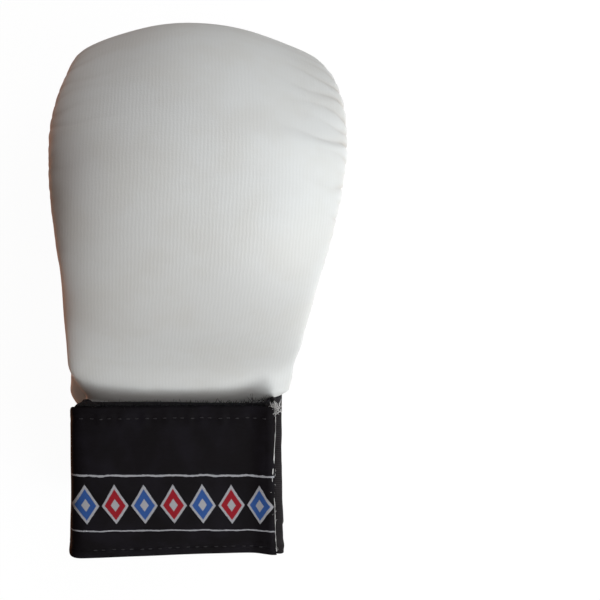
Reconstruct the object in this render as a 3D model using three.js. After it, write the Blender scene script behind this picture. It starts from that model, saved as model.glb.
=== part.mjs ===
// A slip-on karate glove: a curved, foam filled back pad that covers the back of the hand,
// the knuckles and the curled fingers, a sewn inner sleeve with two elastic straps across the
// palm, and a wide elastic cuff. It lies palm down, as it rests by itself on a table.
//
// Frame, in millimetres: +X across the hand, +Y towards the fingers, +Z up from the palm to
// the back of the hand. The floor is Z = 0, and the origin is the middle of the footprint.
import * as THREE from "three";

// Driving dimensions.
const SHEET_GAP = 0.5; // clearance between sewn neighbours
const LABEL_LIFT = 0.7; // the label rides over the cuff's edges with a little more
const PANEL_THICKNESS = 2.4;
const STRAP_THICKNESS = 2.0;
const LINING_THICKNESS = 1.6;
const LABEL_THICKNESS = 0.9;
const CUFF_THICKNESS = 2.4;
const SEAM_ALLOWANCE = 3.0; // width of the sewn edge inside the pad's side seam
const WIDEST_LEVEL = 0.22; // share of the pad's depth at which the skin bulges out most
const SLEEVE_SQUARENESS = 3.0; // 2 is an ellipse, higher is a squarer tube
const FIRST_ROW = -2; // the row inside the cuff in the tables below
const FOLD_WIDTH = 0.13; // half width of one gather, in rows of the seam table
const RIDGE_SWELL = 0.9; // how far the skin puffs out beside the gathers

// The right side seam, where the pad's skin meets the sleeve. half is half the distance to the
// left side seam, lean is how far the hand's middle line stands off X = 0, and slew is how
// many degrees the section is turned towards the right, as the knuckles of a fist are.
const SEAM = [
  { y: -54.0, z: 32.3, half: 36.3, lean: -9.7, slew: 0.0 },
  { y: -44.0, z: 33.8, half: 37.3, lean: -9.2, slew: 0.0 },
  { y: -37.5, z: 35.6, half: 43.0, lean: -5.9, slew: 0.0 },
  { y: -26.6, z: 44.1, half: 42.5, lean: -5.6, slew: 0.0 },
  { y: -14.2, z: 55.0, half: 43.0, lean: -5.1, slew: 0.5 },
  { y: -2.9, z: 65.0, half: 43.0, lean: -4.4, slew: 1.2 },
  { y: 8.1, z: 73.5, half: 43.0, lean: -3.8, slew: 1.9 },
  { y: 18.7, z: 80.6, half: 43.5, lean: -3.0, slew: 2.6 },
  { y: 30.0, z: 84.5, half: 44.0, lean: -2.1, slew: 3.1 },
  { y: 40.9, z: 84.2, half: 44.5, lean: -1.3, slew: 3.4 },
  { y: 51.2, z: 80.4, half: 45.5, lean: -0.5, slew: 3.4 },
  { y: 61.3, z: 74.6, half: 46.0, lean: 0.0, slew: 3.4 },
  { y: 71.2, z: 66.7, half: 46.0, lean: 0.3, slew: 3.2 },
  { y: 77.8, z: 58.0, half: 45.5, lean: 0.5, slew: 2.8 },
  { y: 82.9, z: 47.6, half: 44.5, lean: 0.6, slew: 2.2 },
  { y: 86.7, z: 36.3, half: 43.0, lean: 0.6, slew: 1.6 },
  { y: 90.0, z: 24.9, half: 41.0, lean: 0.6, slew: 1.0 },
  { y: 92.9, z: 14.7, half: 38.5, lean: 0.6, slew: 0.5 },
  { y: 94.6, z: 7.0, half: 35.5, lean: 0.6, slew: 0.2 },
  { y: 93.9, z: 2.3, half: 32.0, lean: 0.6, slew: 0.0 },
];

// The pad's crown line, its half width and how square its dome is. seam is the row of the
// table above that this section grows from, and core is the height of its hand side face.
const CROWN = [
  { seam: -2.0, y: -54.6, z: 34.8, half: 36.8, square: 2.6, core: 0.0 },
  { seam: -1.0, y: -45.0, z: 36.2, half: 37.8, square: 2.6, core: 0.0 },
  { seam: 0.0, y: -38.6, z: 38.4, half: 44.9, square: 2.6, core: 0.0 },
  { seam: 1.15, y: -29.5, z: 50.9, half: 47.0, square: 2.5, core: 0.5 },
  { seam: 2.3, y: -18.6, z: 68.9, half: 47.7, square: 2.5, core: 2.0 },
  { seam: 3.5, y: -9.5, z: 82.4, half: 48.2, square: 2.4, core: 4.0 },
  { seam: 4.7, y: 3.0, z: 96.0, half: 48.9, square: 2.4, core: 6.0 },
  { seam: 5.57, y: 17.4, z: 107.4, half: 50.1, square: 2.3, core: 8.0 },
  { seam: 6.31, y: 31.4, z: 114.2, half: 51.7, square: 2.2, core: 9.5 },
  { seam: 7.05, y: 44.5, z: 116.2, half: 53.3, square: 2.2, core: 10.5 },
  { seam: 7.79, y: 60.5, z: 114.3, half: 54.8, square: 2.1, core: 11.0 },
  { seam: 8.54, y: 73.5, z: 107.8, half: 55.7, square: 2.0, core: 11.0 },
  { seam: 9.28, y: 87.3, z: 97.3, half: 55.2, square: 2.0, core: 10.5 },
  { seam: 10.02, y: 98.6, z: 83.0, half: 53.6, square: 2.0, core: 8.5 },
  { seam: 10.8, y: 106.8, z: 64.5, half: 52.0, square: 2.0, core: 6.0 },
  { seam: 12.2, y: 109.9, z: 44.9, half: 50.0, square: 2.1, core: 2.5 },
  { seam: 13.6, y: 108.3, z: 27.6, half: 47.5, square: 2.2, core: 0.5 },
  { seam: 15.0, y: 104.8, z: 13.3, half: 44.0, square: 2.4, core: -0.5 },
  { seam: 16.1, y: 100.2, z: 4.9, half: 39.5, square: 2.6, core: -0.5 },
  { seam: 17.0, y: 96.0, z: 0.6, half: 34.0, square: 2.8, core: -0.5 },
];

// The palm line of the sleeve, a row for each row of the side seam up to the finger strap,
// and how far its right and left sides belly out between the seam and the palm.
const PALM = [
  { y: -54.5, z: 14.2, right: 4.5, left: 3.0 },
  { y: -46.0, z: 15.8, right: 3.0, left: 4.0 },
  { y: -36.8, z: 16.6, right: 2.5, left: 5.5 },
  { y: -27.7, z: 12.7, right: 4.0, left: 6.5 },
  { y: -19.7, z: 19.3, right: 3.5, left: 4.5 },
  { y: -11.0, z: 25.9, right: 3.0, left: 3.0 },
  { y: 1.0, z: 32.7, right: 2.0, left: 2.0 },
  { y: 15.0, z: 36.5, right: 1.0, left: 1.0 },
  { y: 25.5, z: 38.2, right: 0.5, left: 0.5 },
  { y: 33.9, z: 36.7, right: 0.0, left: 0.0 },
  { y: 41.4, z: 33.6, right: 0.0, left: 0.0 },
  { y: 47.5, z: 30.3, right: 0.0, left: 0.0 },
  { y: 53.2, z: 26.1, right: 0.0, left: 0.0 },
  { y: 58.3, z: 21.2, right: 0.0, left: 0.0 },
  { y: 62.9, z: 16.1, right: 0.0, left: 0.0 },
  { y: 67.4, z: 11.0, right: 0.0, left: 0.0 },
  { y: 73.6, z: 4.3, right: 0.0, left: 0.0 },
  { y: 79.5, z: 0.5, right: 0.0, left: 0.0 },
];

// The gathers of the skin along the side seam: the seam row of each, how far up the pad's
// side it runs, and its depth on the right and on the left side.
const GATHERS = [
  { at: 5.25, reach: 0.35, right: 1.2, left: 1.6 },
  { at: 5.55, reach: 0.45, right: 1.6, left: 1.2 },
  { at: 5.85, reach: 0.4, right: 1.2, left: 1.6 },
  { at: 6.15, reach: 0.4, right: 1.4, left: 1.2 },
  { at: 6.5, reach: 0.55, right: 2.0, left: 2.2 },
  { at: 6.85, reach: 0.5, right: 1.4, left: 1.4 },
  { at: 7.2, reach: 0.75, right: 2.2, left: 1.8 },
  { at: 7.6, reach: 0.5, right: 1.4, left: 2.0 },
  { at: 7.95, reach: 0.7, right: 1.8, left: 1.4 },
  { at: 8.35, reach: 0.95, right: 2.6, left: 2.2 },
  { at: 8.75, reach: 0.75, right: 1.8, left: 2.4 },
  { at: 9.1, reach: 0.85, right: 2.0, left: 1.6 },
  { at: 9.5, reach: 0.9, right: 2.4, left: 2.2 },
  { at: 9.95, reach: 0.85, right: 2.4, left: 2.6 },
  { at: 10.4, reach: 0.8, right: 1.8, left: 1.6 },
  { at: 10.85, reach: 0.95, right: 2.8, left: 2.4 },
  { at: 11.7, reach: 0.6, right: 1.4, left: 1.8 },
];

// Where the sleeve's pieces end. angle runs round the sleeve from the right side seam, 0, to
// the middle of the palm, 90, and the other columns are rows of the seam table.
const STRAP_EDGES = [
  { angle: 0, fingerLow: 12.9, fingerHigh: 14.5, palmLow: 6.5, palmHigh: 9.9, heelHigh: 5.4 },
  { angle: 16, fingerLow: 11.68, fingerHigh: 14.45, palmLow: 6.5, palmHigh: 9.9, heelHigh: 5.85 },
  { angle: 32, fingerLow: 10.36, fingerHigh: 14.35, palmLow: 6.4, palmHigh: 9.8, heelHigh: 6.3 },
  { angle: 60, fingerLow: 9.85, fingerHigh: 14.15, palmLow: 5.95, palmHigh: 9.0, heelHigh: 5.9 },
  { angle: 90, fingerLow: 9.65, fingerHigh: 14.0, palmLow: 5.8, palmHigh: 8.85, heelHigh: 5.75 },
];

// The angle of the side panel's hem over the palm strap, a row for each step along the seam.
const HEM = [
  { seam: 5.5, angle: 33 },
  { seam: 6.6, angle: 33 },
  { seam: 8.3, angle: 33 },
  { seam: 10.2, angle: 31 },
  { seam: 11.4, angle: 16 },
  { seam: 12.3, angle: 3.5 },
];

// The cuff's outer loop, as offsets from its middle line and heights over its palm side.
// longer is how far its free end reaches past a straight cut there, and lower is how far the
// rim at the hand dips at its two sides, where the heel shows above it.
const CUFF_LOOP = [
  { x: 0, h: 0, longer: 0 },
  { x: 28, h: 0, longer: 0 },
  { x: 38.5, h: 2, longer: 1.0 },
  { x: 44.2, h: 7.7, longer: 3.6, lower: 0.8 },
  { x: 45.8, h: 15.5, longer: 5.2, lower: 2.2 },
  { x: 44.4, h: 22, longer: 3.0, lower: 3.2 },
  { x: 40.2, h: 26.5, longer: 0.8, lower: 3.2 },
  { x: 38.4, h: 31, longer: -0.4, lower: 2.4 },
  { x: 42.8, h: 34.8, longer: -0.6 },
  { x: 43.0, h: 38.0, longer: -0.6 },
  { x: 37.6, h: 38.6, longer: -0.6 },
  { x: 35.2, h: 36.4, longer: -0.5 },
  { x: 0, h: 36.6, longer: 0.3 },
  { x: -34, h: 36.4, longer: 1.3 },
  { x: -42.8, h: 35.3, longer: 1.8 },
  { x: -44.4, h: 30, longer: 2.4, lower: 4 },
  { x: -44.9, h: 22, longer: 3.0, lower: 8 },
  { x: -44.6, h: 13.5, longer: 5.0, lower: 9 },
  { x: -42.6, h: 6.4, longer: 3.0, lower: 8 },
  { x: -37.4, h: 1.6, longer: 0.8, lower: 5 },
  { x: -28, h: 0, longer: 0, lower: 2 },
];
const CUFF_LOOP_HEIGHT = 38.6;
const CUFF_LEAN = -8.1;
// The cuff from the hand's end to its free end: the line of its palm side and of its back,
// how much it widens, and the shares of the free end's extra length and of the rim's dip. The
// last few millimetres lie on the floor.
const CUFF_ROWS = [
  { y: -38.3, z: 13.5, backY: -44.5, backZ: 51.6, wide: 1, end: 0, rim: 1 },
  { y: -60.0, z: 8.1, backY: -66.2, backZ: 49.6, wide: 1.005, end: 0, rim: 0.3 },
  { y: -75.0, z: 3.4, backY: -86.2, backZ: 47.2, wide: 1.015, end: 0.15, rim: 0 },
  { y: -85.8, z: 0.0, backY: -101.8, backZ: 45.3, wide: 1.03, end: 0.6, rim: 0 },
  { y: -92.2, z: 0.0, backY: -109.9, backZ: 44.3, wide: 1.045, end: 1, rim: 0 },
];

// The roll of foam inside the finger end: its outline from the side, from the floor upwards.
const ROLL_BACK = [
  { y: 93.2, z: 0 },
  { y: 86.5, z: 0 },
  { y: 80.6, z: 2.0 },
  { y: 77.3, z: 6.4 },
  { y: 75.7, z: 11.5 },
  { y: 76.6, z: 17.5 },
  { y: 80.0, z: 22.5 },
  { y: 84.0, z: 26.0 },
];

const radians = THREE.MathUtils.degToRad;
const mix = THREE.MathUtils.lerp;
const steps = (count) => Array.from({ length: count + 1 }, (_, i) => i / count);

// A column of a table at a broken row number, smooth through the rows.
function smooth(rows, column, at) {
  const last = rows.length - 1;
  const place = THREE.MathUtils.clamp(at, 0, last);
  const i = Math.min(Math.floor(place), last - 1);
  const value = (k) => rows[THREE.MathUtils.clamp(k, 0, last)][column];
  const before = i > 0 ? value(i - 1) : 2 * value(0) - value(1);
  const after = i + 2 <= last ? value(i + 2) : 2 * value(last) - value(last - 1);
  const [a, b] = [value(i), value(i + 1)];
  const f = place - i;
  return (
    a +
    0.5 *
      f *
      (b - before + f * (2 * before - 5 * a + 4 * b - after + f * (3 * (a - b) + after - before)))
  );
}

// A column of a table whose first column holds rising keys, straight between the rows.
function straight(rows, key, column, at) {
  const above = rows.findIndex((row) => row[key] >= at);
  if (above <= 0) return rows[above < 0 ? rows.length - 1 : 0][column];
  const [a, b] = [rows[above - 1], rows[above]];
  return mix(a[column], b[column], (at - a[key]) / (b[key] - a[key]));
}

const seamColumn = (column, row) => smooth(SEAM, column, row - FIRST_ROW);
const crownColumn = (column, row) => smooth(CROWN, column, row - FIRST_ROW);
const palmColumn = (column, row) => smooth(PALM, column, row - FIRST_ROW);

// The crown row whose section grows from a given row of the seam table.
function crownRowAt(seamRow) {
  let [low, high] = [FIRST_ROW, CROWN.length - 1 + FIRST_ROW];
  for (let i = 0; i < 40; i++) {
    const middle = (low + high) / 2;
    if (crownColumn("seam", middle) < seamRow) low = middle;
    else high = middle;
  }
  return (low + high) / 2;
}

// How far the skin is drawn in by the gathers, at a seam row, on a side of the pad, and at a
// share of the way from the crown, 0, to the side seam, 1.
function gatherDepth(seamRow, side, share) {
  const climb = 1 - share;
  let depth = 0;
  for (const { at, reach, right, left } of GATHERS) {
    const spread = FOLD_WIDTH * (1 + 1.2 * climb);
    const fade = THREE.MathUtils.smoothstep(reach * 0.75 - climb, 0, reach * 0.5);
    const crease = Math.exp(-(((seamRow - at) / spread) ** 2));
    depth += (side > 0 ? right : left) * crease * fade;
  }
  const puffed = THREE.MathUtils.smoothstep(seamRow, 4.8, 5.4);
  const calm = 1 - THREE.MathUtils.smoothstep(seamRow, 11.6, 12.6);
  return depth - RIDGE_SWELL * puffed * calm * THREE.MathUtils.smoothstep(share, 0.5, 0.85);
}

// The middle of a section between its two side seams, and its direction across the hand.
function seamFrame(seamRow) {
  const slew = radians(seamColumn("slew", seamRow));
  const half = seamColumn("half", seamRow);
  const across = new THREE.Vector3(Math.cos(slew), -Math.sin(slew), 0);
  const y = seamColumn("y", seamRow) + half * Math.sin(slew);
  const middle = new THREE.Vector3(seamColumn("lean", seamRow), y, seamColumn("z", seamRow));
  return { middle, across, half };
}

// One section of the pad: its seam frame, which way it rises and how deep it is.
function padSection(crownRow) {
  const seam = crownColumn("seam", crownRow);
  const frame = seamFrame(seam);
  const crown = new THREE.Vector3(frame.middle.x, crownColumn("y", crownRow), crownColumn("z", crownRow));
  const rise = crown.sub(frame.middle);
  return { ...frame, seam, depth: rise.length(), up: rise.normalize() };
}

const inSection = ({ middle, across, up }, x, height) =>
  middle.clone().addScaledVector(up, height).addScaledVector(across, x);

// A point of the pad's outer skin. across runs from the left seam, -1, over the crown, 0, to
// the right seam, 1.
const WIDEST_SHARE = 0.8;
function skinPoint(crownRow, across) {
  const section = padSection(crownRow);
  const [side, share] = [Math.sign(across), Math.abs(across)];
  const half = crownColumn("half", crownRow);
  const widest = WIDEST_LEVEL * section.depth;
  const pull = gatherDepth(section.seam, side, share);
  if (share > WIDEST_SHARE) {
    const turn = (((share - WIDEST_SHARE) / (1 - WIDEST_SHARE)) * Math.PI) / 2;
    const tuck = pull * (1 - 0.6 * Math.sin(turn));
    const x = section.half + (half - section.half - tuck) * Math.cos(turn);
    return inSection(section, side * x, widest * (1 - Math.sin(turn)));
  }
  const turn = ((share / WIDEST_SHARE) * Math.PI) / 2;
  const power = 2 / crownColumn("square", crownRow);
  const x = half * Math.sin(turn) ** power - pull * Math.sin(turn);
  const dome = Math.max(Math.cos(turn), 0) ** power;
  return inSection(section, side * x, widest + (section.depth - widest) * dome - pull * Math.cos(turn));
}

// A point of the pad's face towards the hand, or of a layer that lies on that face.
function corePoint(crownRow, across, below = 0) {
  const section = padSection(crownRow);
  const half = section.half - SEAM_ALLOWANCE - below * 0.5;
  const height = crownColumn("core", crownRow) * (1 - across ** 4);
  return inSection(section, half * across, height - below);
}

// A point of the sleeve, from the right side seam, 0 degrees, round the palm, 90, to the left
// side seam, 180, at a depth under its outer face.
function sleevePoint(seamRow, angle, depth) {
  const { middle, across, half } = seamFrame(seamRow);
  const palm = new THREE.Vector3(middle.x, palmColumn("y", seamRow), palmColumn("z", seamRow));
  const reach = palm.sub(middle);
  const fall = reach.length() - depth;
  const [c, s] = [Math.cos(radians(angle)), Math.sin(radians(angle))];
  const round = (Math.abs(c) ** SLEEVE_SQUARENESS + s ** SLEEVE_SQUARENESS) ** (-1 / SLEEVE_SQUARENESS);
  const side = angle < 90 ? "right" : "left";
  const belly = palmColumn(side, seamRow) * Math.sin(radians(2 * angle));
  const x = (half - depth) * round * c + belly;
  return middle.addScaledVector(reach.normalize(), fall * round * s).addScaledVector(across, x);
}

// A closed body between two grids of points, rows by columns, whose corners match. Each grid
// may have its own number of rows and columns. A loop's columns join up all round.
function wallBetween(outer, inner, loop = false) {
  const points = [];
  const faces = [];
  const number = (grid) => grid.map((row) => row.map((point) => points.push(point) - 1));
  const [outside, inside] = [number(outer), number(inner)];
  const tile = (grid, flip) => {
    for (let i = 0; i + 1 < grid.length; i++) {
      const wide = grid[i].length;
      for (let j = 0; j < (loop ? wide : wide - 1); j++) {
        const k = (j + 1) % wide;
        const [a, b, c, d] = [grid[i][j], grid[i][k], grid[i + 1][k], grid[i + 1][j]];
        faces.push(...(flip ? [a, c, b, a, d, c] : [a, b, c, a, c, d]));
      }
    }
  };
  const apart = (p, q) => points[p].distanceTo(points[q]);
  const zip = (a, b) => {
    let [i, j] = [0, 0];
    while (i + 1 < a.length || j + 1 < b.length) {
      const lastB = j + 1 >= b.length;
      if (lastB || (i + 1 < a.length && apart(a[i + 1], b[j]) <= apart(a[i], b[j + 1]))) {
        faces.push(a[i], b[j], a[i + 1]);
        i++;
      } else {
        faces.push(a[i], b[j], b[j + 1]);
        j++;
      }
    }
  };
  const column = (grid, j) => grid.map((row) => row.at(j));
  const closed = (row) => (loop ? [...row, row[0]] : [...row]);
  tile(outside, false);
  tile(inside, true);
  zip(closed(outside[0]), closed(inside[0]));
  zip(closed(outside.at(-1)).reverse(), closed(inside.at(-1)).reverse());
  if (!loop) {
    zip(column(outside, 0).reverse(), column(inside, 0).reverse());
    zip(column(outside, -1), column(inside, -1));
  }
  const geometry = new THREE.BufferGeometry();
  geometry.setAttribute(
    "position",
    new THREE.Float32BufferAttribute(
      points.flatMap((point) => point.toArray()),
      3,
    ),
  );
  geometry.setIndex(faces);
  return geometry;
}

const grid = (rows, columns, point) => rows.map((row) => columns.map((column) => point(row, column)));

// The back pad: gathered skin outside, plain face towards the hand.
const PLAIN_SEAM_ROWS = [-2, -1.4, -1, -0.6, -0.3, 0, 0.6, 1.3, 2.2, 3.1, 4, 4.6, 5.0];
const TIP_SEAM_ROWS = [12.3, 13.1, 13.9, 14.6, 15.3, 15.9, 16.5, 17];
const ACROSS = [0, 0.16, 0.31, 0.45, 0.57, 0.67, 0.745, 0.8, 0.87, 0.94, 1];
const BOTH_WAYS = [...ACROSS.slice(1).reverse().map((share) => -share), ...ACROSS];

// The rows and columns of the pad's face towards the hand. The lining and the finger roll lie
// on it with the same ones, so that they keep their distance from it.
const LINING_ROWS = [1, 2.1, 3.1, 4, 4.8, 5.5, 6.2, 6.9, 7.6, 8.3, 9, 9.8, 10.6, 11.5, 12.5, 13.4];
const ROLL_ROWS = [13.9, 14.6, 15.3, 16, 16.5, 17];
const CORE_ROWS = [-2, -1, -0.5, 0, ...LINING_ROWS, ...ROLL_ROWS];
const LINING_ACROSS = [-0.96, -0.8, -0.6, -0.4, -0.2, 0, 0.2, 0.4, 0.6, 0.8, 0.96];
const CORE_ACROSS = [-1, ...LINING_ACROSS, 1];

function padGeometry() {
  const gathered = GATHERS.flatMap(({ at }, i) => {
    const next = GATHERS[i + 1]?.at ?? TIP_SEAM_ROWS[0];
    const between = next - at > 0.4 ? [0.3, 0.65] : [0.5];
    return [at, ...between.map((f) => mix(at, next, f))];
  });
  const rows = [...PLAIN_SEAM_ROWS, ...gathered, ...TIP_SEAM_ROWS].map(crownRowAt);
  const skin = grid(rows, BOTH_WAYS, skinPoint);
  const core = grid(CORE_ROWS.map(crownRowAt), CORE_ACROSS, (row, across) => corePoint(row, across));
  return wallBetween(skin, core);
}

function liningGeometry() {
  const layer = (below) =>
    grid(LINING_ROWS.map(crownRowAt), LINING_ACROSS, (row, across) => corePoint(row, across, below));
  return wallBetween(layer(SHEET_GAP), layer(SHEET_GAP + LINING_THICKNESS));
}

// A wall that follows the sleeve. place turns a grid's shares into a seam row and an angle.
function sleeveGeometry(rowSteps, angleSteps, thickness, place) {
  const layer = (depth) =>
    grid(steps(rowSteps), steps(angleSteps), (f, g) => sleevePoint(...place(f, g), depth));
  return wallBetween(layer(0), layer(thickness));
}

const FIRST_ANGLE = 2; // keeps the sleeve's edge clear of the pad's side seam
const edgeRow = (column, angle) => straight(STRAP_EDGES, "angle", column, Math.min(angle, 180 - angle));

// A band right across the palm, between two columns of the strap table.
function bandGeometry(low, high, firstAngle, thickness, rowSteps, angleSteps) {
  return sleeveGeometry(rowSteps, angleSteps, thickness, (f, g) => {
    const angle = mix(firstAngle, 180 - firstAngle, g);
    const start = typeof low === "number" ? low : edgeRow(low, angle);
    return [mix(start, edgeRow(high, angle), f), angle];
  });
}

function sidePanelGeometry(side) {
  const [low, high] = [HEM[0].seam, HEM.at(-1).seam];
  const slant = edgeRow("heelHigh", HEM[0].angle) - edgeRow("heelHigh", 0);
  return sleeveGeometry(12, 6, PANEL_THICKNESS, (f, g) => {
    const row = mix(low, high, f);
    const share = side > 0 ? g : 1 - g;
    const angle = mix(FIRST_ANGLE, straight(HEM, "seam", "angle", row), share);
    return [row + slant * share * (1 - f), side > 0 ? angle : 180 - angle];
  });
}

// The cuff: a closed elastic loop whose two ends are sewn together in a standing seam.
function cuffPoint(cuffRow, loopPoint) {
  const palm = new THREE.Vector3(CUFF_LEAN, cuffRow.y, cuffRow.z);
  const back = new THREE.Vector3(CUFF_LEAN, cuffRow.backY, cuffRow.backZ);
  const shift = loopPoint.longer * cuffRow.end + (loopPoint.lower ?? 0) * cuffRow.rim;
  const offset = new THREE.Vector3(loopPoint.x * cuffRow.wide, -shift, 0);
  return palm.lerp(back, loopPoint.h / CUFF_LOOP_HEIGHT).add(offset);
}

// The loop moved in by a depth, square to its own outline.
function loopInset(loop, depth) {
  return loop.map((point, i) => {
    const before = loop.at(i - 1);
    const after = loop[(i + 1) % loop.length];
    const [dx, dh] = [after.x - before.x, after.h - before.h];
    const long = Math.hypot(dx, dh);
    const [x, h] = [point.x - (depth * dh) / long, point.h + (depth * dx) / long];
    return { ...point, x, h };
  });
}

// The inside of the loop passes under the standing seam, so the seam is solid.
const STANDING_SEAM = [9, 10];
const CUFF_BORE = loopInset(
  CUFF_LOOP.filter((_, i) => !STANDING_SEAM.includes(i)),
  CUFF_THICKNESS,
);

function cuffGeometry() {
  const outer = CUFF_ROWS.map((row) => CUFF_LOOP.map((point) => cuffPoint(row, point)));
  const inner = CUFF_ROWS.map((row) => CUFF_BORE.map((point) => cuffPoint(row, point)));
  return wallBetween(outer, inner, true);
}

// The woven label on the back of the cuff: its offsets from the cuff's middle line, and its
// rows as shares of the cuff's length. It turns down a little over the left edge.
const LABEL_LOOP = [...CUFF_LOOP.slice(11, 14), { ...CUFF_LOOP[14], x: -42.2, h: 35.38 }];
const LABEL_ALONG = [0.01, 0.25, 0.5, 0.75, 0.985];

function labelGeometry() {
  const cuffRow = (share) => {
    const place = share * (CUFF_ROWS.length - 1);
    const i = Math.min(Math.floor(place), CUFF_ROWS.length - 2);
    const [before, after] = [CUFF_ROWS[i], CUFF_ROWS[i + 1]];
    const between = (key) => [key, mix(before[key], after[key], place - i)];
    return Object.fromEntries(Object.keys(before).map(between));
  };
  const layer = (lift) =>
    grid(LABEL_ALONG, LABEL_LOOP, (share, point) => cuffPoint(cuffRow(share), { ...point, h: point.h + lift }));
  return wallBetween(layer(LABEL_LIFT + LABEL_THICKNESS), layer(LABEL_LIFT));
}

// The finger roll: its front lies on the pad's face, its back bulges towards the palm.
function rollGeometry() {
  const front = grid([...ROLL_ROWS].reverse().map(crownRowAt), LINING_ACROSS, (row, across) =>
    corePoint(row, across, SHEET_GAP),
  );
  const last = ROLL_BACK.length - 1;
  const back = ROLL_BACK.map((outline, i) => {
    const row = crownRowAt(mix(ROLL_ROWS.at(-1), ROLL_ROWS[0], i / last));
    return LINING_ACROSS.map((across) => {
      const bulge = 1 - 0.88 * THREE.MathUtils.smoothstep(Math.abs(across), 0.6, 0.96);
      const foot = corePoint(row, across, SHEET_GAP);
      return new THREE.Vector3(foot.x, mix(foot.y, outline.y, bulge), mix(foot.z, outline.z, bulge));
    });
  });
  return wallBetween(back, front);
}

const white = { color: 0xe9e8e4, roughness: 0.62, metalness: 0 };
const black = { color: 0x17151a, roughness: 0.85, metalness: 0 };
const glove = new THREE.Group();

function addPiece(name, geometry, look) {
  geometry.computeVertexNormals();
  const mesh = new THREE.Mesh(geometry, new THREE.MeshStandardMaterial(look));
  mesh.name = name;
  glove.add(mesh);
}

addPiece("back_pad", padGeometry(), white);
addPiece("lining", liningGeometry(), { ...white, color: 0xe6ded6, roughness: 0.8 });
addPiece("finger_roll", rollGeometry(), white);
addPiece("side_panel_right", sidePanelGeometry(1), white);
addPiece("side_panel_left", sidePanelGeometry(-1), white);
addPiece(
  "heel_panel",
  bandGeometry(FIRST_ROW + 0.1, "heelHigh", FIRST_ANGLE, PANEL_THICKNESS, 16, 20),
  white,
);
addPiece("finger_strap", bandGeometry("fingerLow", "fingerHigh", FIRST_ANGLE, STRAP_THICKNESS, 5, 22), black);
addPiece("palm_strap", bandGeometry("palmLow", "palmHigh", 34, STRAP_THICKNESS, 5, 14), black);
addPiece("cuff", cuffGeometry(), black);
addPiece("cuff_label", labelGeometry(), { ...black, roughness: 0.6 });

// Stand the glove over the middle of its footprint.
const footprint = new THREE.Box3().setFromObject(glove);
const middle = footprint.getCenter(new THREE.Vector3());
glove.position.set(-middle.x, -middle.y, -footprint.min.z);

export default glove;
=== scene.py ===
"""A slip-on karate glove, lying palm down: gathered pad, sewn sleeve, elastic straps and cuff."""
import logging
from dataclasses import dataclass, field
from enum import Enum
from typing import Callable, ClassVar, Sequence

import bpy
import numpy as np
from mathutils import Matrix, Vector


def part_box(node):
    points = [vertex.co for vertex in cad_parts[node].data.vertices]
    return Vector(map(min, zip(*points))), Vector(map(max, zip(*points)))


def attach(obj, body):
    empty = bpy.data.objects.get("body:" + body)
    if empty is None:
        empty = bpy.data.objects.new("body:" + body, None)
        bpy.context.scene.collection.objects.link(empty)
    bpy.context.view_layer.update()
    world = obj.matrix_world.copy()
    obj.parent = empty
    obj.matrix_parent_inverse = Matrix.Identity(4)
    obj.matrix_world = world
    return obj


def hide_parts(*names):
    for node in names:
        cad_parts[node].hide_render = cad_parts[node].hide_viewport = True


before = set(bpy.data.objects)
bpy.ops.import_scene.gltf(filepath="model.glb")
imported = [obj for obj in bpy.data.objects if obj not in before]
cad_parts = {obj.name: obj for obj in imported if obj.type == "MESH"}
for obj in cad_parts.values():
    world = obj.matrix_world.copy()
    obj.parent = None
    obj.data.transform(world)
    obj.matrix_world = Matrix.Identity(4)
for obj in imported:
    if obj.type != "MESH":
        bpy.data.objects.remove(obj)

Array = np.ndarray
TAU = 2 * np.pi
log = logging.getLogger("karate_glove")


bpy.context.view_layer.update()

# ---------------------------------------------------------------------------------------------
# Measurements. Lengths are millimetres and angles degrees, as in the part's source.
# ---------------------------------------------------------------------------------------------


@dataclass(frozen=True)
class Table:
    """A short table of measurements with named columns, a row for each station."""

    columns: str
    rows: tuple[tuple[float, ...], ...]

    def column(self, name: str) -> Array:
        """One column by its name."""
        return np.array([row[self.columns.split().index(name)] for row in self.rows], float)

    def smooth(self, name: str, at: Array | float) -> Array:
        """A column at broken row numbers, on a smooth curve through the rows.

        Args:
            name: the column.
            at: row numbers, counted from 0.

        Returns:
            The column's values there.
        """
        return catmull_rom(self.column(name), at)

    def beside(self, place: Array, lift: Array) -> tuple[Array, Array]:
        """The line of columns x and h, moved to its right.

        Args:
            place: row numbers.
            lift: how far it is moved.

        Returns:
            Its x and h.
        """
        step = 0.01
        inside = np.clip(place, step, len(self.rows) - 1 - step)
        dx = self.smooth("x", inside + step) - self.smooth("x", inside - step)
        dh = self.smooth("h", inside + step) - self.smooth("h", inside - step)
        out = lift / np.hypot(dx, dh)
        return self.smooth("x", place) + out * dh, self.smooth("h", place) - out * dx

    def flowing(self, key: str, name: str, at: Array | float) -> Array:
        """A column at values of a rising key column, smooth and without overshoot.

        Args:
            key: the column that holds the keys.
            name: the column to read.
            at: where to read it, in the key's units.

        Returns:
            The column's values there.
        """
        keys, values = self.column(key), self.column(name)
        steps = np.diff(values) / np.diff(keys)
        turning = steps[:-1] * steps[1:] <= 0
        inner = np.where(turning, 0.0, (steps[:-1] + steps[1:]) / 2)
        slopes = np.concatenate(([steps[0]], inner, [steps[-1]]))
        place = np.clip(at, keys[0], keys[-1])
        i = np.clip(np.searchsorted(keys, place, side="right") - 1, 0, len(keys) - 2)
        width = keys[i + 1] - keys[i]
        f = (place - keys[i]) / width
        low, high = values[i], values[i + 1]
        rise = 3 * f**2 - 2 * f**3
        lean = width * (slopes[i] * (f - 2 * f**2 + f**3) + slopes[i + 1] * (f**3 - f**2))
        return low + (high - low) * rise + lean


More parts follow.
